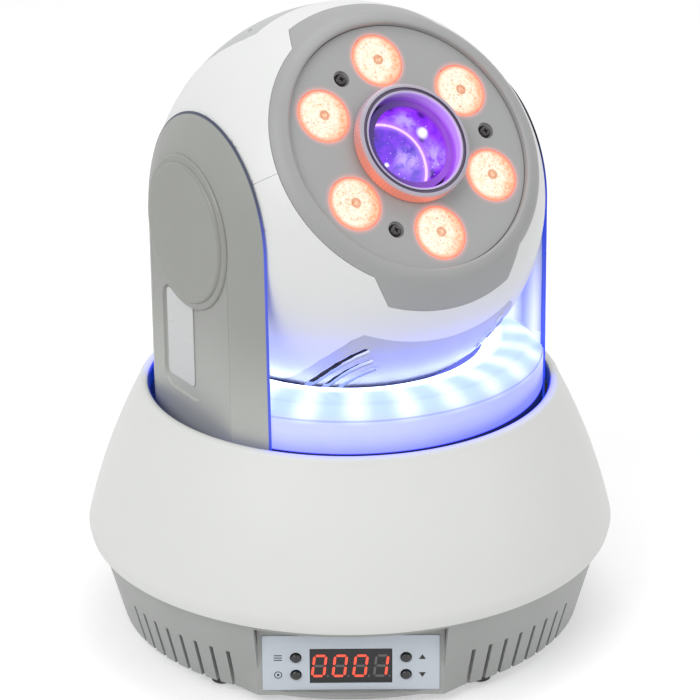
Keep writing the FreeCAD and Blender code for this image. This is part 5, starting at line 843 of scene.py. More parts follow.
class Form:
    """A mesh being shaped, in millimetres, in the frame of its sub-assembly."""

    def __init__(self) -> None:
        """Start an empty mesh."""
        self.mesh = bmesh.new()

    @classmethod
    def turned(cls, profile: Sequence[Point], steps: int = 128, closed: bool = True) -> "Form":
        """Spin an outline of radius and height about Z.

        Args:
            profile: The outline's points.
            steps: Number of steps round.
            closed: False for an outline that starts and ends on the axis, or stays an open skin.

        Returns:
            The turned form.
        """
        form = cls()
        points = [form.mesh.verts.new((radius, 0.0, height)) for radius, height in profile]
        pairs = list(zip(points, points[1:]))
        if closed:
            pairs.append((points[-1], points[0]))
        for pair in pairs:
            form.mesh.edges.new(pair)
        outline = form.mesh.verts[:] + form.mesh.edges[:]
        bmesh.ops.spin(form.mesh, geom=outline, axis=(0, 0, 1), cent=(0, 0, 0), angle=math.tau, steps=steps,
                       use_merge=True)
        return form.mended()

    @classmethod
    def disc(cls, radius: float, height: float, steps: int) -> "Form":
        """A flat round disc on the XY plane."""
        return cls.turned([(0.0, height), (radius, height), (radius, 0.0), (0.0, 0.0)], steps, closed=False)

    @classmethod
    def ball(cls, radius: float, round_steps: int = 160, rise_steps: int = 96) -> "Form":
        """A ball with its poles on Z."""
        form = cls()
        bmesh.ops.create_uvsphere(form.mesh, u_segments=round_steps, v_segments=rise_steps, radius=radius)
        return form

    @classmethod
    def block(cls, low: Sequence[float], high: Sequence[float]) -> "Form":
        """A box between two corners.

        Args:
            low: The corner with the smallest coordinates.
            high: The opposite corner.

        Returns:
            The box.
        """
        form = cls()
        size = [top - bottom for bottom, top in zip(low, high)]
        middle = [(top + bottom) / 2 for bottom, top in zip(low, high)]
        bmesh.ops.create_cube(form.mesh, size=1.0,
                              matrix=Matrix.Translation(middle) @ Matrix.Diagonal((*size, 1.0)))
        return form

    @classmethod
    def plate(cls, corners: Sequence[Point], low: float, high: float) -> "Form":
        """A straight-sided form over a polygon in X and Y.

        Args:
            corners: The polygon's corners.
            low: Height of its floor.
            high: Height of its top.

        Returns:
            The form.
        """
        form = cls()
        floor = form.mesh.faces.new([form.mesh.verts.new((x, y, low)) for x, y in corners])
        raised = bmesh.ops.extrude_face_region(form.mesh, geom=[floor])
        top = [item for item in raised["geom"] if isinstance(item, bmesh.types.BMVert)]
        bmesh.ops.translate(form.mesh, vec=(0, 0, high - low), verts=top)
        return form.mended()

    @classmethod
    def of_node(cls, name: str, place: Place) -> "Form":
        """A merged copy of a CAD node, in the frame of its sub-assembly.

        Args:
            name: The node's name.
            place: The sub-assembly's frame.

        Returns:
            The copy.
        """
        form = cls()
        form.mesh.from_mesh(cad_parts[name].data)
        form.moved(place.matrix().inverted() @ Matrix.Scale(1.0 / MM, 4))
        bmesh.ops.remove_doubles(form.mesh, verts=form.mesh.verts[:], dist=0.004)
        bmesh.ops.dissolve_limit(form.mesh, angle_limit=math.radians(0.4), verts=form.mesh.verts[:],
                                 edges=form.mesh.edges[:])
        return form

    def mended(self) -> "Form":
        """Merge doubles, drop collapsed faces and turn the faces outwards."""
        bmesh.ops.remove_doubles(self.mesh, verts=self.mesh.verts[:], dist=0.0005)
        bmesh.ops.dissolve_degenerate(self.mesh, edges=self.mesh.edges[:], dist=0.0002)
        bmesh.ops.recalc_face_normals(self.mesh, faces=self.mesh.faces[:])
        return self

    def moved(self, matrix: Matrix) -> "Form":
        """Transform the whole form."""
        bmesh.ops.transform(self.mesh, matrix=matrix, verts=self.mesh.verts[:])
        if matrix.determinant() < 0:
            bmesh.ops.reverse_faces(self.mesh, faces=self.mesh.faces[:])
        return self

    def shifted(self, x: float, y: float, z: float) -> "Form":
        """Move the form."""
        return self.moved(Matrix.Translation((x, y, z)))

    def rotated(self, degrees: float, axis: str) -> "Form":
        """Turn the form about an axis through the origin."""
        return self.moved(Matrix.Rotation(math.radians(degrees), 4, axis))

    def sliced(self, point: Sequence[float], normal: Sequence[float], clear: bool = True,
               fill: bool = False) -> "Form":
        """Cut by a plane.

        Args:
            point: A point of the plane.
            normal: Its normal; what lies on that side goes.
            clear: False to keep both sides and only add the edges.
            fill: Whether the cut is closed with a face.

        Returns:
            This form.
        """
        everything = self.mesh.verts[:] + self.mesh.edges[:] + self.mesh.faces[:]
        bmesh.ops.bisect_plane(self.mesh, geom=everything, dist=0.0001, plane_co=point, plane_no=normal,
                               clear_outer=clear)
        if fill:
            rims = [edge for edge in self.mesh.edges if edge.is_boundary]
            bmesh.ops.holes_fill(self.mesh, edges=rims, sides=0)
        return self

    def trimmed(self, reach: float) -> "Form":
        """Cut both sides flat, at a distance from the middle, and close them."""
        for sign in (1.0, -1.0):
            self.sliced((sign * reach, 0, 0), (sign, 0, 0), fill=True)
        return self

    def faced(self, measure: Callable[[Vector], float]) -> "Form":
        """Turn all faces alike, outwards where a measure of their middle is largest."""
        bmesh.ops.recalc_face_normals(self.mesh, faces=self.mesh.faces[:])
        outer = max(self.mesh.faces, key=lambda face: measure(face.calc_center_median()))
        if outer.normal.dot(outer.calc_center_median()) < 0:
            bmesh.ops.reverse_faces(self.mesh, faces=self.mesh.faces[:])
        return self

    def kept(self, test: SpotTest) -> "Form":
        """Keep only the faces whose middle passes a test."""
        gone = [face for face in self.mesh.faces if not test(face.calc_center_median())]
        bmesh.ops.delete(self.mesh, geom=gone, context="FACES")
        return self

    def thickened(self, depth: float) -> "Form":
        """Give an open skin a wall on its inner side."""
        bmesh.ops.solidify(self.mesh, geom=self.mesh.faces[:], thickness=depth)
        return self

    def softened(self, width: float, segments: int = 2, limit: float = 32.0,
                 test: SpotTest | None = None) -> "Form":
        """Round every edge sharper than a limit in degrees.

        Args:
            width: Width of the rounding.
            segments: Number of chords across it.
            limit: Angle in degrees above which an edge is sharp.
            test: Which edges are taken, by their middle; None takes all.

        Returns:
            This form.
        """
        sharp = [edge for edge in self.mesh.edges
                 if len(edge.link_faces) == 2 and edge.calc_face_angle(0.0) > math.radians(limit)
                 and (test is None or test((edge.verts[0].co + edge.verts[1].co) / 2))]
        bmesh.ops.bevel(self.mesh, geom=sharp, offset=width, offset_type="OFFSET", segments=segments,
                        profile=0.5, affect="EDGES", clamp_overlap=True, material=-1)
        return self

    def joined(self, *others: "Form") -> "Form":
        """Take in other forms as loose parts of this one."""
        for other in others:
            scrap = bpy.data.meshes.new("scrap")
            other.mesh.to_mesh(scrap)
            other.mesh.free()
            self.mesh.from_mesh(scrap)
            bpy.data.meshes.remove(scrap)
        return self

    def finished(self, name: str, body: str, place: Place, finish: Finish, replaces: Iterable[str] = (),
                 smooth: float = 34.0) -> bpy.types.Object:
        """Make the object, dress it and let it ride on its body.

        Args:
            name: The piece's name.
            body: The CAD body it moves with.
            place: The frame it was modelled in.
            finish: Its finish.
            replaces: CAD nodes that it stands for.
            smooth: Angle in degrees up to which edges are shaded smooth.

        Returns:
            The object.
        """
        self.moved(place.matrix()).moved(Matrix.Scale(MM, 4))
        mesh = bpy.data.meshes.new(name)
        self.mesh.to_mesh(mesh)
        self.mesh.free()
        mesh.polygons.foreach_set("use_smooth", [True] * len(mesh.polygons))
        mesh.set_sharp_from_angle(angle=math.radians(smooth))
        mesh.materials.append(FINISHES.get(finish))
        piece = linked(name, mesh)
        weighted = piece.modifiers.new("weighted_normals", "WEIGHTED_NORMAL")
        weighted.keep_sharp = True
        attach(piece, body)
        if replaces:
            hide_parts(*replaces)
        log.info("%s: %d faces on %s", name, len(mesh.polygons), body)
        return piece


def linked(name: str, data: bpy.types.ID) -> bpy.types.Object:
    """A new object in the scene that shows its data."""
    made = bpy.data.objects.new(name, data)
    bpy.context.scene.collection.objects.link(made)
    return made


def dress_node(name: str, finish: Finish) -> None:
    """Give a CAD node its finish."""
    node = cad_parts[name]
    node.data.materials.clear()
    node.data.materials.append(FINISHES.get(finish))


def dress_nodes(finishes: dict[str, Finish]) -> None:
    """Give each named CAD node its finish."""
    for name, finish in finishes.items():
        dress_node(name, finish)


def dressed_copy(node: str, body: str, place: Place, finish: Finish, edge: float, segments: int = 2,
                 test: SpotTest | None = None) -> bpy.types.Object:
    """A copy of a CAD node with rounded edges, or those that pass a test, that stands for it.

    Args:
        node: The node's name.
        body: The CAD body it moves with.
        place: The frame it is shaped in.
        finish: Its finish.
        edge: Width of the rounding.
        segments: Number of chords across it.
        test: Which edges are rounded, by their middle; None takes all.

    Returns:
        The copy.
    """
    form = Form.of_node(node, place).softened(edge, segments, test=test)
    return form.finished(node + "_skin", body, place, finish, (node,))


def cross_screw(radius: float = 2.4, height: float = 1.4) -> Form:
    """A pan-head screw with a cross recess, its seat at the origin.

    Args:
        radius: Radius of its head.
        height: Height of its head.

    Returns:
        The head.
    """
    profile = [(0.0, height * 0.35), (radius * 0.22, height * 0.35), (radius * 0.5, height * 0.95),
               (radius * 0.72, height), (radius, height * 0.35), (radius, 0.0), (0.0, 0.0)]
    form = Form.turned(profile, 32, closed=False)
    for vertex in form.mesh.verts:
        span = math.hypot(vertex.co.x, vertex.co.y)
        if 0.1 * radius < span < 0.6 * radius and vertex.co.z > height * 0.3:
            lobe = 0.42 + 0.58 * abs(math.cos(2.0 * math.atan2(vertex.co.y, vertex.co.x))) ** 3
            vertex.co.x *= lobe
            vertex.co.y *= lobe
    return form


@dataclass
class BaseHousing:
    """The round base: white shell, grey skirt, feet, rear sockets and underside."""

    rim_radius: float = 77.4
    rim_top: float = 97.1
    rim_edge: Point = (81.8, 95.0)
    widest: Point = (102.8, 40.0)
    side_bulge: float = 1.9
    lower_edge: Point = (102.1, 36.8)
    wall: float = 2.4
    lip_depth: float = 7.0
    foot_places: tuple[Point, ...] = ((-48.5, -67.5), (48.5, -67.5), (-48.5, 67.5), (48.5, 67.5))
    foot_radius: float = 4.6

    def build(self) -> None:
        """Make and dress every piece of the base."""
        self._white_shell()
        self._feet()
        dressed_copy("lower_shell", "base", Place.BASE, GREY_BASE, 0.3)
        dress_nodes({
            "bottom_plate": STEEL, "base_screws": DARK_STEEL, "control_board": CIRCUIT_GREEN,
            "power_inlet": BLACK_MOULD, "data_in": NICKEL, "connector_pins": BRASS, "data_out": NICKEL,
            "data_out_latch": NICKEL, "power_supply": STEEL, "pan_bridge": STEEL,
            "pan_bearing_outer": BRIGHT_STEEL, "pan_motor": BLACK_MOULD, "pan_motor_pulley": ALUMINIUM,
            "pan_belt": FOOT_RUBBER,
        })

    def _white_shell(self) -> None:
        """Turn the white shell from its outline."""
        start = (self.rim_radius, self.rim_top - 1.3)
        crest = (self.rim_radius + 1.76, self.rim_top)
        inner_top = (self.rim_radius + 3.6, self.rim_top - self.lip_depth)
        inner_wide = (self.widest[0] - self.wall, self.widest[1])
        outer = [start, *arc_points(start, crest, self.rim_edge, 8)]
        side = bulge(self.rim_edge, self.widest, self.side_bulge)
        outer += arc_points(self.rim_edge, side, self.widest, 20)
        outer += [self.lower_edge, (self.lower_edge[0] - self.wall, self.lower_edge[1])]
        outer += [inner_wide]
        outer += arc_points(inner_wide, bulge(inner_top, inner_wide, self.side_bulge), inner_top, 20)
        outer += [(self.rim_radius, inner_top[1])]
        form = Form.turned(outer, 192).softened(0.35, 2, 40.0)
        form.finished("white_shell_skin", "base", Place.BASE, WHITE_BASE, ("upper_shell",))

    def _feet(self) -> None:
        """Turn the rubber feet."""
        profile = [(1.65, 2.4), (2.7, 2.4), (2.7, 0.5), (3.0, 0.1), (3.6, 0.0), (4.1, 0.35), (4.3, 1.0),
                   (self.foot_radius, 4.4), (self.foot_radius, 4.98), (1.65, 4.98)]
        feet = Form.turned(profile, 48).shifted(*self.foot_places[0], 0.0)
        for x, y in self.foot_places[1:]:
            feet.joined(Form.turned(profile, 48).shifted(x, y, 0.0))
        feet.finished("rubber_feet", "base", Place.BASE, FOOT_RUBBER, ("feet",))


class Segment(Enum):
    """Bars of a seven-segment digit, as (middle x, middle y, upright) in shares of the digit."""

    TOP = (0.0, 1.0, False)
    TOP_RIGHT = (1.0, 0.5, True)
    LOW_RIGHT = (1.0, -0.5, True)
    BOTTOM = (0.0, -1.0, False)
    LOW_LEFT = (-1.0, -0.5, True)
    TOP_LEFT = (-1.0, 0.5, True)
    MIDDLE = (0.0, 0.0, False)


ZERO = frozenset(Segment) - {Segment.MIDDLE}
ONE = frozenset({Segment.TOP_RIGHT, Segment.LOW_RIGHT})


@dataclass
class ControlPanel:
    """The front panel: silver label, four-digit display, four keys and plain marks."""

    face_y: float = -86.9
    film: float = 0.5
    display_z: float = 16.2
    display_size: Point = (30.1, 14.0)
    digit_pitch: float = 7.6
    digit_half: Point = (2.15, 4.2)
    bar: float = 0.95
    bar_height: float = 0.06
    slant: float = 0.12
    ink: float = 0.03
    shown: tuple[frozenset[Segment], ...] = (ZERO, ZERO, ZERO, ONE)
    keys: dict[str, Point] = field(default_factory=lambda: {
        "menu": (-20.3, 19.75), "enter": (-20.3, 12.65), "up": (20.3, 19.75), "down": (20.3, 12.65)})

    def build(self) -> None:
        """Make and dress every piece of the panel."""
        dressed_copy("panel_label", "base", Place.BASE, SILVER_FILM, 0.12, 1)
        self._window()
        self._digits()
        for name, (x, z) in self.keys.items():
            self._key(name, x, z)
        self._marks()

    def _upright(self, form: Form, proud: float) -> Form:
        """Stand a form drawn in X and Y against the panel's face."""
        return form.rotated(90.0, "X").shifted(0.0, self.face_y - self.film - proud, 0.0)

    def _window(self) -> None:
        """The display's black face."""
        half_x, half_z = self.display_size[0] / 2, self.display_size[1] / 2
        form = Form.block((-half_x, self.face_y - self.film / 2, self.display_z - half_z),
                          (half_x, self.face_y + 7.0, self.display_z + half_z)).softened(0.15)
        form.finished("display_window", "base", Place.BASE, BLACK_MOULD, ("display_module",))

    def _bar(self, segment: Segment, middle: float) -> Form:
        """One hexagonal bar of a digit.

        Args:
            segment: Which bar.
            middle: The digit's middle across the display.

        Returns:
            The bar, drawn in X and Y.
        """
        share_x, share_z, stands = segment.value
        x, z = share_x * self.digit_half[0], share_z * self.digit_half[1]
        half = (self.digit_half[1] / 2 if stands else self.digit_half[0]) - 0.28
        thick = self.bar / 2
        tip = half - thick
        points = [(-half, 0.0), (-tip, -thick), (tip, -thick), (half, 0.0), (tip, thick), (-tip, thick)]
        if stands:
            points = [(-v, u) for u, v in points]
        leaning = [(middle + x + u + (z + v) * self.slant, self.display_z + z + v) for u, v in points]
        return Form.plate(leaning, 0.0, self.bar_height)

    def _digits(self) -> None:
        """Lit and dark bars and the points of all digits."""
        lit, dark = Form(), Form()
        for index, digit in enumerate(self.shown):
            middle = (index - 1.5) * self.digit_pitch - 0.3
            for segment in Segment:
                (lit if segment in digit else dark).joined(self._bar(segment, middle))
            dot = Form.disc(0.42, self.bar_height, 16)
            dark.joined(dot.shifted(middle + 3.1, self.display_z - self.digit_half[1], 0.0))
        proud = -self.film / 2
        self._upright(lit, proud).finished(
            "digits_lit", "base", Place.BASE, Lamp("segment_lit", (0.5, 0.05, 0.03), (1.0, 0.10, 0.05), 1.0))
        self._upright(dark, proud).finished(
            "digits_dark", "base", Place.BASE, Lamp("segment_dark", (0.16, 0.15, 0.15)))

    def _key(self, name: str, x: float, z: float) -> None:
        """One domed key cap with its collar.

        Args:
            name: The key's name.
            x: Its place across the panel.
            z: Its height.
        """
        cap = [(0.0, 1.9), *arc_points((0.0, 1.9), (0.9, 1.78), (1.6, 1.4), 5), (1.75, 1.1), (1.75, -2.8),
               (2.5, -2.8), (2.5, -3.5), (1.75, -3.5), (1.75, -3.9), (0.0, -3.9)]
        form = Form.turned(cap, 40, closed=False).rotated(90.0, "X").shifted(x, self.face_y, z)
        form.finished("key_cap_" + name, "key_" + name, Place.BASE, BLACK_KEY, ("button_" + name,))

    def _marks(self) -> None:
        """Plain printed marks beside the keys: bars, a dot in a ring, and two arrows."""
        marks = Form()
        left, right = self.keys["menu"][0] - 6.6, self.keys["up"][0] + 6.0
        top, low = self.keys["menu"][1], self.keys["enter"][1]
        for step in (-1.0, 0.0, 1.0):
            z = top + step * 0.95
            marks.joined(Form.plate([(left - 1.5, z - 0.2), (left + 1.5, z - 0.2), (left + 1.5, z + 0.2),
                                     (left - 1.5, z + 0.2)], 0.0, self.ink))
        ring = [(1.15, 0.0), (1.5, 0.0), (1.5, self.ink), (1.15, self.ink)]
        marks.joined(Form.turned(ring, 40).shifted(left, low, 0.0))
        marks.joined(Form.disc(0.5, self.ink, 24).shifted(left, low, 0.0))
        for z, lift in ((top, 1.0), (low, -1.0)):
            marks.joined(Form.plate([(right - 1.3, z - 0.8 * lift), (right + 1.3, z - 0.8 * lift),
                                     (right, z + 1.2 * lift)][::int(lift)], 0.0, self.ink))
        ink = Lamp("mark_ink", (0.03, 0.03, 0.035))
        self._upright(marks, 0.0).finished("panel_marks", "base", Place.BASE, ink)


@dataclass
class ArmShell:
    """One arm's casing: an arch round the tilt axis on straight legs, folded round a flat face."""

    inner: float = 61.3
    face: float = 69.2
    ball: float = 75.1
    fold: float = 28.6
    foot: float = 66.0
    fold_spread: float = 0.7
    edge_draw: float = 1.6
    wall: float = 1.6
    window: float = 24.05
    recess_y: Point = (-7.7, 21.0)
    recess_z: Point = (101.8, 143.3)
    recess_depth: float = 0.9
    recess_steps: tuple[Point, ...] = ((0.12, 0.25),)
    recess_corner: float = 6.5

    def _loop(self, form: Form, places: Sequence[Triple]) -> list[bmesh.types.BMEdge]:
        """A closed ring of edges.

        Args:
            form: The form that takes them.
            places: The ring's points.

        Returns:
            The edges.
        """
        points = [form.mesh.verts.new(place) for place in places]
        return [form.mesh.edges.new(pair) for pair in zip(points, points[1:] + points[:1])]

    def _recess_outline(self) -> list[Point]:
        """The recess with its round corners, in Y and Z."""
        corner = self.recess_corner
        (y0, y1), (z0, z1) = self.recess_y, self.recess_z
        high_y, low_y, high_z, low_z = y1 - corner, y0 + corner, z1 - corner, z0 + corner
        middles = ((high_y, high_z, 0), (low_y, high_z, 1), (low_y, low_z, 2), (high_y, low_z, 3))
        return [(y + corner * math.cos(math.tau * (quarter + step / 8) / 4),
                 z + corner * math.sin(math.tau * (quarter + step / 8) / 4))
                for y, z, quarter in middles for step in range(9)]

    def _recess(self, form: Form) -> list[bmesh.types.BMEdge]:
        """Sink the nameplate's recess into the face.

        Args:
            form: The casing being shaped.

        Returns:
            The edges of the recess in the face.
        """
        mesh = form.mesh
        outline = self._recess_outline()
        middle_y, middle_z = sum(self.recess_y) / 2, sum(self.recess_z) / 2
        half_y = (self.recess_y[1] - self.recess_y[0]) / 2
        rings = []
        for inset, depth in ((0.0, 0.0), *self.recess_steps, (0.4, self.recess_depth)):
            shrink = 1.0 - inset / half_y
            rings.append([mesh.verts.new((self.face - depth, middle_y + (y - middle_y) * shrink,
                                          middle_z + (z - middle_z) * shrink)) for y, z in outline])
        for first, second in zip(rings, rings[1:]):
            for index in range(len(first)):
                after = (index + 1) % len(first)
                mesh.faces.new((first[index], first[after], second[after], second[index]))
        mesh.faces.new(rings[-1])
        rim = rings[0]
        return [mesh.edges.get(pair) for pair in zip(rim, rim[1:] + rim[:1])]

    def form(self, recessed: bool) -> Form:
        """The casing of the right arm, open towards the head.

        Args:
            recessed: Whether its face has the nameplate's recess.

        Returns:
            The casing.
        """
        made = Form()
        mesh = made.mesh
        profile = [(self.fold - 0.5, self.face), (self.fold - 0.25, self.face - 0.28),
                   (self.fold, self.face - 0.06)]
        edge = math.sqrt(self.ball ** 2 - self.inner ** 2)
        for step in range(1, 9):
            reach = self.fold + (edge - self.fold) * step / 8
            profile.append((reach, math.sqrt(self.ball ** 2 - reach ** 2)))
        points = [mesh.verts.new((across, -reach, TILT_AXIS_Z)) for reach, across in profile]
        first = [mesh.edges.new(pair) for pair in zip(points, points[1:])]
        arch = bmesh.ops.spin(mesh, geom=points + first, axis=(-1, 0, 0), cent=(0, 0, TILT_AXIS_Z),
                              angle=math.pi, steps=56)["geom_last"]
        last = [item for item in arch if isinstance(item, bmesh.types.BMEdge)]
        for ends in (first, last):
            leg = bmesh.ops.extrude_edge_only(mesh, edges=ends)["geom"]
            for vertex in [item for item in leg if isinstance(item, bmesh.types.BMVert)]:
                share = max(0.0, (abs(vertex.co.y) - self.fold) / (edge - self.fold))
                draw = self.fold_spread * (1.0 - share) - self.edge_draw * share
                vertex.co.y += math.copysign(draw, vertex.co.y)
                vertex.co.z = self.foot
        flat = [item for item in mesh.edges if item.is_boundary
                and min(corner.co.x for corner in item.verts) > self.face - 0.01]
        feet = [corner for corner in dict.fromkeys(corner for item in flat for corner in item.verts)
                if abs(corner.co.z - self.foot) < 0.01]
        top = [*flat, mesh.edges.new(feet)]
        turns = [math.tau * step / 64 for step in range(64)]
        window = [(self.window * math.cos(turn), self.window * math.sin(turn)) for turn in turns]
        top += self._loop(made, [(self.face, y, TILT_AXIS_Z + z) for y, z in window])
        if recessed:
            top += self._recess(made)
        bmesh.ops.triangle_fill(mesh, edges=top, use_beauty=True, use_dissolve=False)
        made.faced(lambda spot: spot.x).thickened(self.wall)
        return made.sliced((self.inner, 0.0, 0.0), (-1, 0, 0), fill=True)


@dataclass
class Yoke:
    """The turning yoke: tray, dish, lit ring, two arms with caps, and the tilt drive."""

    ring_radius: float = 75.0
    ring_low: float = 88.2
    shoulder: float = 108.6
    crown: Point = (69.2, 112.9)
    top: Point = (62.0, 113.7)
    brim: Point = (52.0, 112.4)
    ring_wall: float = 1.8
    side: float = 61.2
    arm_face: float = 69.2
    liner_skin: float = 61.9
    cap_radius: float = 29.0
    cap_face: float = 26.0
    cap_proud: float = 2.0
    spigot: Point = (22.7, 24.0)
    spigot_depth: float = 1.6

    def build(self) -> None:
        """Make and dress every piece of the yoke."""
        self._ring()
        self._caps()
        for side in ("left", "right"):
            shell = ArmShell().form(side == "left")
            if side == "left":
                shell.moved(Matrix.Diagonal((-1.0, 1.0, 1.0, 1.0)))
            shell.finished("arm_casing_" + side, "yoke", Place.YOKE, ARM_GREY, ("arm_outer_" + side,),
                           smooth=16.0)
            dressed_copy("arm_inner_" + side, "yoke", Place.YOKE, LINER_GREY, 0.25, 2,
                         lambda spot: abs(spot.x) < self.liner_skin)
        dressed_copy("arm_nameplate", "yoke", Place.YOKE, BLANK_PLATE, 0.15, 2)
        dress_nodes({
            "yoke_tray": TRAY_NAVY, "yoke_dish": NAVY_DISH, "ring_board": CIRCUIT_WHITE,
            "pan_bearing_inner": BRIGHT_STEEL, "pan_pulley": ALUMINIUM, "pan_shaft": BRIGHT_STEEL,
            "tilt_bearings": BRIGHT_STEEL, "tilt_motor": BLACK_MOULD, "tilt_motor_pulley": ALUMINIUM,
            "tilt_belt": FOOT_RUBBER,
        })

    def _ring(self) -> None:
        """Turn the milky ring and cut its sides for the arms."""
        wall = self.ring_wall
        profile = [(self.ring_radius, self.ring_low), (self.ring_radius, self.shoulder),
                   (self.ring_radius - 0.6, self.shoulder), (self.ring_radius - 0.6, self.shoulder + 0.6),
                   self.crown]
        profile += arc_points(self.crown, self.top, self.brim, 14)
        profile += [(self.brim[0], self.brim[1] - 4.0), (self.brim[0] + wall, self.brim[1] - 4.0),
                    (self.brim[0] + wall, self.brim[1] - wall)]
        inner_crown = (self.crown[0] - wall / 2, self.crown[1] - wall)
        inner_top = (self.top[0], self.top[1] - wall)
        profile += arc_points(profile[-1], inner_top, inner_crown, 12)
        inner = self.ring_radius - wall
        profile += [(inner, self.shoulder - wall / 2), (inner, self.ring_low)]
        form = Form.turned(profile, 192)
        form.trimmed(self.side).mended().softened(0.3, 2, 28.0)
        form.finished("ring_glow_skin", "yoke", Place.YOKE, RingGlow(), ("ring_diffuser",))

    def _caps(self) -> None:
        """Turn the round covers on the arms, with their stepped rims."""
        face, proud, radius = self.cap_face, self.cap_proud, self.cap_radius
        half = proud / 2
        profile = [(0.0, proud), (face - 1.2, proud)]
        profile += arc_points(profile[-1], (face - 0.1, proud - 0.25), (face + 0.4, half), 6)
        profile += [(radius - 1.2, half - 0.05)]
        profile += arc_points(profile[-1], (radius - 0.3, half - 0.3), (radius, 0.1), 6)
        (inner, outer), depth = self.spigot, self.spigot_depth
        profile += [(radius, 0.02), (outer, 0.02), (outer, -depth), (inner, -depth), (inner, 0.5), (0.0, 0.5)]
        caps = Form()
        for sign in (1.0, -1.0):
            cap = Form.turned(profile, 96, closed=False).shifted(0.0, 0.0, self.arm_face)
            caps.joined(cap.rotated(90.0 * sign, "Y").shifted(0.0, 0.0, TILT_AXIS_Z))
        caps.finished("arm_cap_skins", "yoke", Place.YOKE, CAP_GREY, ("arm_caps",))


@dataclass(frozen=True)
class Vent:
    """A slot with round ends along a line, drawn in X and Z on both sides of the rear cover."""

    line: tuple[Point, ...]
    half: float

    def way_out(self, spot: Vector) -> tuple[float, Vector]:
        """How far a place lies outside the slot, and the way straight out.

        Args:
            spot: A place on the ball.

        Returns:
            The distance, below 0 inside, and the direction.
        """
        side = math.copysign(1.0, spot.x)
        place = Vector((abs(spot.x), spot.z))
        nearest = Vector((100.0, 100.0))
        for first, last in zip(self.line, self.line[1:]):
            run = Vector(last) - Vector(first)
            share = min(1.0, max(0.0, (place - Vector(first)).dot(run) / run.length_squared))
            away = place - Vector(first) - run * share
            if away.length < nearest.length:
                nearest = away
        out = nearest.normalized()
        return nearest.length - self.half, Vector((out.x * side, 0.0, out.y))


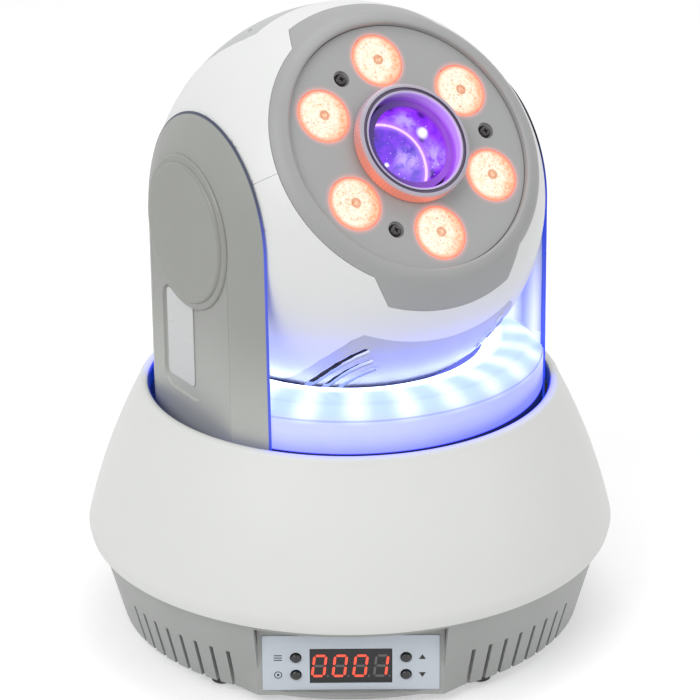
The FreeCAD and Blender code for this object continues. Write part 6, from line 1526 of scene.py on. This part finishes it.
@dataclass
class HeadHousing:
    """The round head: white shells, grey bezel and rear cover."""

    radius: float = 74.4
    side: float = 61.0
    wall: float = 2.2
    gap: float = 0.14
    bezel_edge: float = 50.9
    wing_low: float = 43.9
    wing_foot: float = 25.8
    wing_head: float = 31.3
    rear_edge: float = -50.9
    cover_radius: float = 74.15
    cover_line: tuple[Point, ...] = (
        (31.8, 31.2), (35.3, 27.2), (38.6, 20.4), (41.6, 12.0), (43.2, 2.5),
        (43.8, -13.0), (44.0, -31.0), (44.0, -50.9))
    vents: tuple[Vent, ...] = (
        Vent(((29.2, 23.7), (32.4, 19.3), (35.3, 12.7), (37.0, 4.4), (37.2, -4.3), (36.2, -13.0)), 1.35),
        Vent(((26.0, 18.7), (28.9, 15.0), (31.2, 9.7), (32.4, 3.3), (32.4, -3.5), (31.6, -10.0)), 1.2),
        Vent(((22.9, 14.3), (25.1, 11.2), (26.8, 6.8), (27.7, 1.5), (27.6, -4.9), (27.0, -8.0)), 0.85))
    screw_seats: tuple[Vent, ...] = (Vent(((28.68, 22.7), (28.72, 22.7)), 0.9),)
    grille_radii: tuple[float, ...] = (10.0, 17.0, 24.0, 31.0)
    grille_width: float = 3.2
    grille_spoke: float = 4.0
    lip_radius: float = 49.2
    lip_height: float = 54.4
    bore: float = 47.6
    bore_height: float = 53.6
    seat: float = 50.2
    bezel_wall: float = 1.7
    fine_reach: float = 3.4
    fine_cuts: int = 7
    round_reach: float = 6.0
    ridge_width: float = 1.3

    def build(self) -> None:
        """Make and dress every piece of the housing."""
        for name, sign in (("top", 1.0), ("bottom", -1.0)):
            self._shell(name, sign)
        self._bezel()
        self._cover()
        dress_node("head_chassis", STEEL)

    def _planes(self, grow: float) -> list[tuple[Triple, Triple]]:
        """The planes that bound the bezel's wings and the rear cover, moved out by grow.

        Args:
            grow: How far the planes move out.

        Returns:
            A point and a normal for each plane.
        """
        planes = [((0.0, 0.0, self.wing_low - grow), (0.0, 0.0, 1.0)),
                  ((0.0, 0.0, self.cover_line[0][1] + grow), (0.0, 0.0, 1.0))]
        edges = [((self.wing_foot, self.wing_low), (self.wing_head, self.bezel_edge)),
                 *zip(self.cover_line, self.cover_line[1:])]
        for (x0, z0), (x1, z1) in edges:
            run = Vector((x1 - x0, 0.0, z1 - z0)).normalized()
            out = Vector((abs(run.z), 0.0, -run.x if run.z > 0 else run.x))
            for sign in (1.0, -1.0):
                normal = Vector((out.x * sign, 0.0, out.z))
                point = Vector((x0 * sign, 0.0, z0)) + normal * grow
                planes.append((tuple(point), tuple(normal)))
        return planes

    def _in_wing(self, spot: Vector, grow: float) -> bool:
        """Whether a place of the ball belongs to the bezel.

        Args:
            spot: The place.
            grow: How far the bezel's edge is moved out.

        Returns:
            True inside the edge.
        """
        lean = (self.wing_head - self.wing_foot) / (self.bezel_edge - self.wing_low)
        reach = self.wing_foot + (spot.z - self.wing_low) * lean + grow
        return spot.z > self.bezel_edge or (spot.z > self.wing_low - grow and abs(spot.x) < reach)

    def _in_cover(self, spot: Vector, grow: float) -> bool:
        """Whether a place of the ball belongs to the rear cover.

        Args:
            spot: The place.
            grow: How far the cover's edge is moved out.

        Returns:
            True inside the edge.
        """
        if spot.z < self.rear_edge:
            return True
        if spot.z > self.cover_line[0][1] + grow:
            return False
        reach = self.cover_line[0][0]
        for (high_x, high_z), (low_x, low_z) in zip(self.cover_line, self.cover_line[1:]):
            if low_z <= spot.z <= high_z:
                reach = low_x + (high_x - low_x) * (spot.z - low_z) / (high_z - low_z)
        return abs(spot.x) < reach + grow * 1.2

    def _in_grille(self, spot: Vector) -> bool:
        """Whether a place of the ball lies in one of the fan's ring slots."""
        if spot.z > 0.0 or min(abs(spot.x), abs(spot.y)) < self.grille_spoke / 2:
            return False
        span = spot.xy.length
        return any(radius < span < radius + self.grille_width for radius in self.grille_radii)

    def _shell(self, name: str, sign: float) -> None:
        """One white shell, cut from a ball.

        Args:
            name: Which shell, top or bottom.
            sign: 1 for the upper half and -1 for the lower.
        """
        form = Form.ball(self.radius).trimmed(self.side)
        form.sliced((0, 0, self.bezel_edge - self.gap), (0, 0, 1))
        form.sliced((0, 0, self.rear_edge + self.gap), (0, 0, -1))
        form.sliced((0, sign * self.gap / 2, 0), (0, -sign, 0))
        for point, normal in self._planes(self.gap):
            form.sliced(point, normal, clear=False)
        form.kept(lambda spot: not self._in_wing(spot, self.gap) and not self._in_cover(spot, self.gap))
        bmesh.ops.recalc_face_normals(form.mesh, faces=form.mesh.faces[:])
        form.thickened(self.wall).softened(0.35, 2, 40.0)
        form.finished(name + "_shell_skin", "head", Place.HEAD, WHITE_HEAD, ("head_shell_" + name,))

    def _opened(self, form: Form, vents: Sequence[Vent], side: float, ridge: float) -> None:
        """Open slots in the ball.

        Args:
            form: A ball of plain four-sided faces.
            vents: The slots.
            side: 1 for the upper half of the ball and -1 for the lower.
            ridge: Height of the rounded lip along each slot.
        """
        mesh = form.mesh

        def gap(spot: Vector) -> float:
            """Distance to the nearest slot."""
            return min(vent.way_out(spot)[0] for vent in vents) if spot.y * side > 0.0 else 100.0

        near = [face for face in mesh.faces if gap(face.calc_center_median()) < self.fine_reach]
        edges = list(dict.fromkeys(edge for face in near for edge in face.edges))
        bmesh.ops.subdivide_edges(mesh, edges=edges, cuts=self.fine_cuts, use_grid_fill=True)
        close = [vertex for vertex in mesh.verts if gap(vertex.co) < self.round_reach]
        for vertex in close:
            vertex.co = vertex.co.normalized() * self.cover_radius
        gone = [face for face in mesh.faces if gap(face.calc_center_median()) < 0.0]
        bmesh.ops.delete(mesh, geom=gone, context="FACES")
        for vertex in [vertex for vertex in mesh.verts if vertex.is_boundary]:
            away, way = min((vent.way_out(vertex.co) for vent in vents), key=lambda found: found[0])
            if vertex.co.y * side > 0.0 and abs(away) < 1.0:
                vertex.co -= way * away
                vertex.co.y = side * math.sqrt(self.cover_radius ** 2 - vertex.co.x ** 2 - vertex.co.z ** 2)
        half = self.ridge_width / 2
        for vertex in mesh.verts:
            away = gap(vertex.co)
            if away < self.ridge_width:
                lift = ridge * (1.0 - (away / half - 1.0) ** 2)
                vertex.co = vertex.co.normalized() * (self.cover_radius + max(0.0, lift))

    def _cover(self) -> None:
        """The grey rear cover: screw seats, slots in the lower wing and the fan's grille."""
        form = Form.ball(self.cover_radius)
        self._opened(form, self.screw_seats, 1.0, 0.0)
        self._opened(form, self.vents, -1.0, 0.25)
        for radius in self.grille_radii:
            for edge in (radius, radius + self.grille_width):
                form.sliced((0, 0, -math.sqrt(self.cover_radius ** 2 - edge ** 2)), (0, 0, 1), clear=False)
        for sign in (1.0, -1.0):
            form.sliced((sign * self.grille_spoke / 2, 0, 0), (1, 0, 0), clear=False)
            form.sliced((0, sign * self.grille_spoke / 2, 0), (0, 1, 0), clear=False)
        for point, normal in self._planes(0.0):
            form.sliced(point, normal, clear=False)
        form.kept(lambda spot: self._in_cover(spot, 0.0) and not self._in_grille(spot))
        bmesh.ops.remove_doubles(form.mesh, verts=form.mesh.verts[:], dist=0.06)
        form.faced(lambda spot: spot.length).thickened(self.wall).softened(0.3, 2, 45.0)
        form.finished("rear_cover_skin", "head", Place.HEAD, COVER_GREY, ("rear_cover",))

    def _bezel(self) -> None:
        """The front ring and its two wings, as one skin."""
        low = (math.sqrt(self.radius ** 2 - self.wing_low ** 2), self.wing_low)
        edge = (math.sqrt(self.radius ** 2 - self.bezel_edge ** 2), self.bezel_edge)
        turn = (math.atan2(low[1], low[0]) + math.atan2(edge[1], edge[0])) / 2
        middle = (self.radius * math.cos(turn), self.radius * math.sin(turn))
        profile = [low, *arc_points(low, middle, edge, 8)]
        lip = (self.lip_radius, self.lip_height)
        profile += arc_points(edge, bulge(edge, lip, -0.65), lip, 6)
        profile += arc_points(lip, (self.bore + 0.5, self.lip_height - 0.1), (self.bore, self.bore_height), 4)
        profile += [(self.bore, self.seat)]
        form = Form.turned(profile, 192, closed=False)
        form.sliced((0, 0, self.bezel_edge), (0, 0, 1), clear=False)
        for point, normal in self._planes(0.0):
            form.sliced(point, normal, clear=False)
        form.kept(lambda spot: self._in_wing(spot, 0.0))
        form.faced(lambda spot: spot.xy.length).thickened(self.bezel_wall).softened(0.3, 2, 45.0)
        form.finished("bezel_skin", "head", Place.HEAD, GREY_HEAD, ("head_bezel",))


@dataclass
class LightFace:
    """The face of the head: plate, six lenses, screws, focus ring and centre lens."""

    face: float = 52.2
    lens_dome: float = 0.8
    lens_edge: float = 1.8
    lens_depth: float = 12.0
    lens_tip: float = 4.0
    screw_angles: tuple[float, ...] = (0.0, 120.0, 240.0)
    pocket: float = 1.5
    ring_radius: float = 22.4
    ring_front: float = 58.0
    ring_back: float = 52.6
    ring_bore: float = 18.78
    ring_neck: float = 19.9
    ring_inner: float = 18.3
    ring_foot: float = 46.0
    knurls: int = 90
    knurl_depth: float = 0.016
    cover_skin: float = 73.6
    cover_screw: Point = (28.7, 22.7)
    cover_screw_depth: float = 4.2
    glass_radius: float = 15.92
    glass_z: Point = (48.3, 50.7)
    glass_rise: float = 2.2
    glass_shoulder: float = 1.66

    def build(self) -> None:
        """Make and dress every piece of the face."""
        dressed_copy("face_plate", "head", Place.HEAD, FACE_GREY, 0.2, 2)
        self._lenses()
        self._screws()
        self._focus_ring()
        self._centre_lens()
        dress_nodes({
            "lens_cell": VioletTube(), "optic_housing": BLACK_MOULD, "light_board": CIRCUIT_WHITE,
            "light_chips": LED_FACE, "heatsink": ALUMINIUM, "effect_disc": ClearGlass("effect_glass"),
            "effect_motor": STEEL, "fan_frame": BLACK_MOULD, "fan_rotor": BLACK_MOULD,
            "tilt_pulley": ALUMINIUM,
        })

    def _spot(self, angle: float) -> Point:
        """Place on the lens circle."""
        turn = math.radians(angle)
        return LENS_CIRCLE * math.cos(turn), LENS_CIRCLE * math.sin(turn)

    def _lenses(self) -> None:
        """The six lenses, each with a dial map from its own middle."""
        radius = LENS_RADIUS
        rise = self.face + self.lens_dome
        crest, rim = (0.0, rise), (radius - 0.25, self.face + 0.1)
        back, shoulder = self.face - self.lens_depth, self.face - self.lens_edge
        profile = [crest, *arc_points(crest, bulge(crest, rim, 0.2), rim, 10), (radius, self.face - 0.2),
                   (radius, shoulder), (radius - 0.8, shoulder), (self.lens_tip, back), (0.0, back)]
        lenses = Form()
        for angle in LENS_ANGLES:
            lens = Form.turned(profile, 64, closed=False)
            dial = lens.mesh.loops.layers.uv.new("dial")
            for lens_face in lens.mesh.faces:
                for loop in lens_face.loops:
                    loop[dial].uv = (loop.vert.co.x / radius / 2 + 0.5, loop.vert.co.y / radius / 2 + 0.5)
            lenses.joined(lens.shifted(*self._spot(angle), 0.0))
        lenses.finished("wash_lens_skins", "head", Place.HEAD, LensGlow(), ("wash_lenses",))

    def _screws(self) -> None:
        """Black screws deep in the face's pockets, and those of the rear cover."""
        screws = Form()
        for angle in self.screw_angles:
            screws.joined(cross_screw().shifted(*self._spot(angle), self.face - self.pocket))
        across, up = self.cover_screw
        height = math.sqrt(self.cover_skin ** 2 - across ** 2 - up ** 2)
        for x in (-across, across):
            for sign in (1.0, -1.0):
                seated = cross_screw().shifted(0.0, 0.0, -self.cover_screw_depth).rotated(-90.0 * sign, "X")
                screws.joined(seated.shifted(x, sign * height, up))
        screws.finished("cross_screws", "head", Place.HEAD, DARK_STEEL, ("head_screws",))

    def _focus_ring(self) -> None:
        """The knurled ring round the centre lens."""
        front, back, foot = self.ring_front, self.ring_back, self.ring_foot
        outer, inner, bore, neck = self.ring_radius, self.ring_inner, self.ring_bore, self.ring_neck
        profile = [(bore, foot), (neck, foot), (neck, back), (outer - 0.4, back), (outer, back + 0.5),
                   (outer, front - 1.3), (outer - 0.5, front - 0.45), (outer - 1.3, front),
                   (inner + 2.2, front), (inner + 2.05, front - 0.7), (inner + 1.1, front - 0.7),
                   (inner + 0.95, front - 0.15), (inner + 0.3, front - 0.2), (inner, front - 0.6),
                   (inner, front - 1.6), (bore, front - 1.8)]
        form = Form.turned(profile, self.knurls * 4)
        for vertex in form.mesh.verts:
            span = math.hypot(vertex.co.x, vertex.co.y)
            if span > outer - 0.05:
                phase = math.atan2(vertex.co.y, vertex.co.x) * self.knurls
                share = 1.0 - self.knurl_depth * (0.5 - 0.5 * math.cos(phase))
                vertex.co.x *= share
                vertex.co.y *= share
        form.finished("focus_ring_skin", "focus", Place.HEAD, FOCUS_GREY, ("focus_ring",))

    def _centre_lens(self) -> None:
        """The domed centre lens over the violet beam."""
        radius, rise, shoulder = self.glass_radius, self.glass_rise, self.glass_shoulder
        low, high = self.glass_z
        front, back = (0.0, high + rise), (0.0, low - rise)
        profile = [front, *arc_points(front, (radius / 2, high + shoulder), (radius, high), 14),
                   (radius, low), *arc_points((radius, low), (radius / 2, low - shoulder), back, 14)]
        form = Form.turned(profile, 96, closed=False)
        form.finished("violet_lens_skin", "focus_lens", Place.HEAD, VioletGlass(), ("front_lens",))


@dataclass
class Studio:
    """Pale floor, soft light and the photograph's camera."""

    aim: Triple = (0.0, 0.0, 0.1066)
    distance: float = 1.0
    elevation: float = math.radians(22.02)
    roll: float = math.radians(-0.4)
    focal_px: float = 2587.5
    image_px: float = 700.0
    centre_px: Point = (348.8, 349.5)
    sensor: float = 36.0
    soft: float = 0.50
    floor_grey: float = 0.80
    floor_lift: float = 0.36
    lamp_aim: Triple = (0.0, 0.0, 0.11)
    lamps: tuple[tuple[str, Triple, float, float], ...] = (
        ("key", (-0.9, -1.1, 1.3), 1.1, 12.6),
        ("fill", (1.3, -0.8, 0.8), 1.1, 4.2),
        ("top", (0.1, 0.4, 1.6), 1.0, 7.0))

    def build(self) -> None:
        """Set the stage."""
        self._camera()
        self._world()
        self._floor()
        for lamp in self.lamps:
            self._lamp(*lamp)
        bpy.context.scene.view_settings.view_transform = "Standard"

    def _camera(self) -> None:
        """Place the camera as the photograph's."""
        data = bpy.data.cameras.new("camera")
        data.sensor_width = self.sensor
        data.lens = self.focal_px / self.image_px * self.sensor
        data.shift_x = 0.5 - self.centre_px[0] / self.image_px
        data.shift_y = self.centre_px[1] / self.image_px - 0.5
        data.clip_start, data.clip_end = 0.05, 50.0
        forward = Vector((0.0, math.cos(self.elevation), -math.sin(self.elevation)))
        level = Vector((1.0, 0.0, 0.0))
        above = level.cross(forward)
        right = level * math.cos(self.roll) + above * math.sin(self.roll)
        up = right.cross(forward)
        turn = Matrix((right, up, -forward)).transposed().to_4x4()
        camera = linked("camera", data)
        camera.matrix_world = Matrix.Translation(Vector(self.aim) - forward * self.distance) @ turn
        bpy.context.scene.camera = camera

    def _split(self, tree: Tree, lighting: bpy.types.Node, seen: bpy.types.Node) -> Socket:
        """Choose a shader by the kind of ray.

        Args:
            tree: The tree of the world or of the floor.
            lighting: Shader for the rays that light the object.
            seen: Shader for rays from the camera, a mirror or through glass.

        Returns:
            The chosen shader.
        """
        path = tree.node("ShaderNodeLightPath")
        camera, glossy, through = (Value(tree, path.outputs[name]) for name in
                                   ("Is Camera Ray", "Is Glossy Ray", "Is Transmission Ray"))
        share = camera.larger(glossy).larger(through)
        mix = tree.node("ShaderNodeMixShader", None, {0: share, 1: lighting.outputs[0], 2: seen.outputs[0]})
        return mix.outputs[0]

    def _world(self) -> None:
        """Even soft light, seen as plain white."""
        world = bpy.data.worlds.new("studio")
        world.use_nodes = True
        tree = Tree.inside(world.node_tree)
        soft = tree.node("ShaderNodeBackground", None, {"Color": WHITE, "Strength": self.soft})
        seen = tree.node("ShaderNodeBackground", None, {"Color": WHITE, "Strength": 1.0})
        tree.node("ShaderNodeOutputWorld", None, {"Surface": self._split(tree, soft, seen)})
        bpy.context.scene.world = world

    def _floor(self) -> None:
        """A wide pale floor that keeps the light's shadow."""
        form = Form()
        bmesh.ops.create_circle(form.mesh, cap_ends=True, segments=96, radius=6.0)
        mesh = bpy.data.meshes.new("floor")
        form.mesh.to_mesh(mesh)
        form.mesh.free()
        tree = Tree("pale_floor")
        plain = tree.node("ShaderNodeBsdfDiffuse", None, {"Color": (self.floor_grey,) * 3})
        lift = tree.node("ShaderNodeEmission", None, {"Color": WHITE, "Strength": self.floor_lift})
        both = tree.node("ShaderNodeAddShader", None, {0: plain.outputs[0], 1: lift.outputs[0]})
        tree.node("ShaderNodeOutputMaterial", None, {"Surface": self._split(tree, plain, both)})
        mesh.materials.append(tree.material)
        floor = linked("floor", mesh)

    def _lamp(self, name: str, spot: Triple, size: float, watts: float) -> None:
        """A soft square lamp aimed at the light's middle.

        Args:
            name: The lamp's name.
            spot: Where it hangs, in metres.
            size: Length of its sides.
            watts: Its power.
        """
        data = bpy.data.lights.new(name, "AREA")
        data.shape = "SQUARE"
        data.size = size
        data.energy = watts
        lamp = linked(name, data)
        aim = Vector(self.lamp_aim) - Vector(spot)
        lamp.location = spot
        lamp.rotation_mode = "QUATERNION"
        lamp.rotation_quaternion = aim.to_track_quat("-Z", "Y")


def main() -> None:
    """Build the light, sub-assembly by sub-assembly, and the studio round it."""
    logging.basicConfig(level=logging.INFO, format="%(message)s")
    for assembly in (BaseHousing(), ControlPanel(), Yoke(), HeadHousing(), LightFace(), Studio()):
        assembly.build()
        log.info("%s built", type(assembly).__name__)


if __name__ == "__main__":
    main()
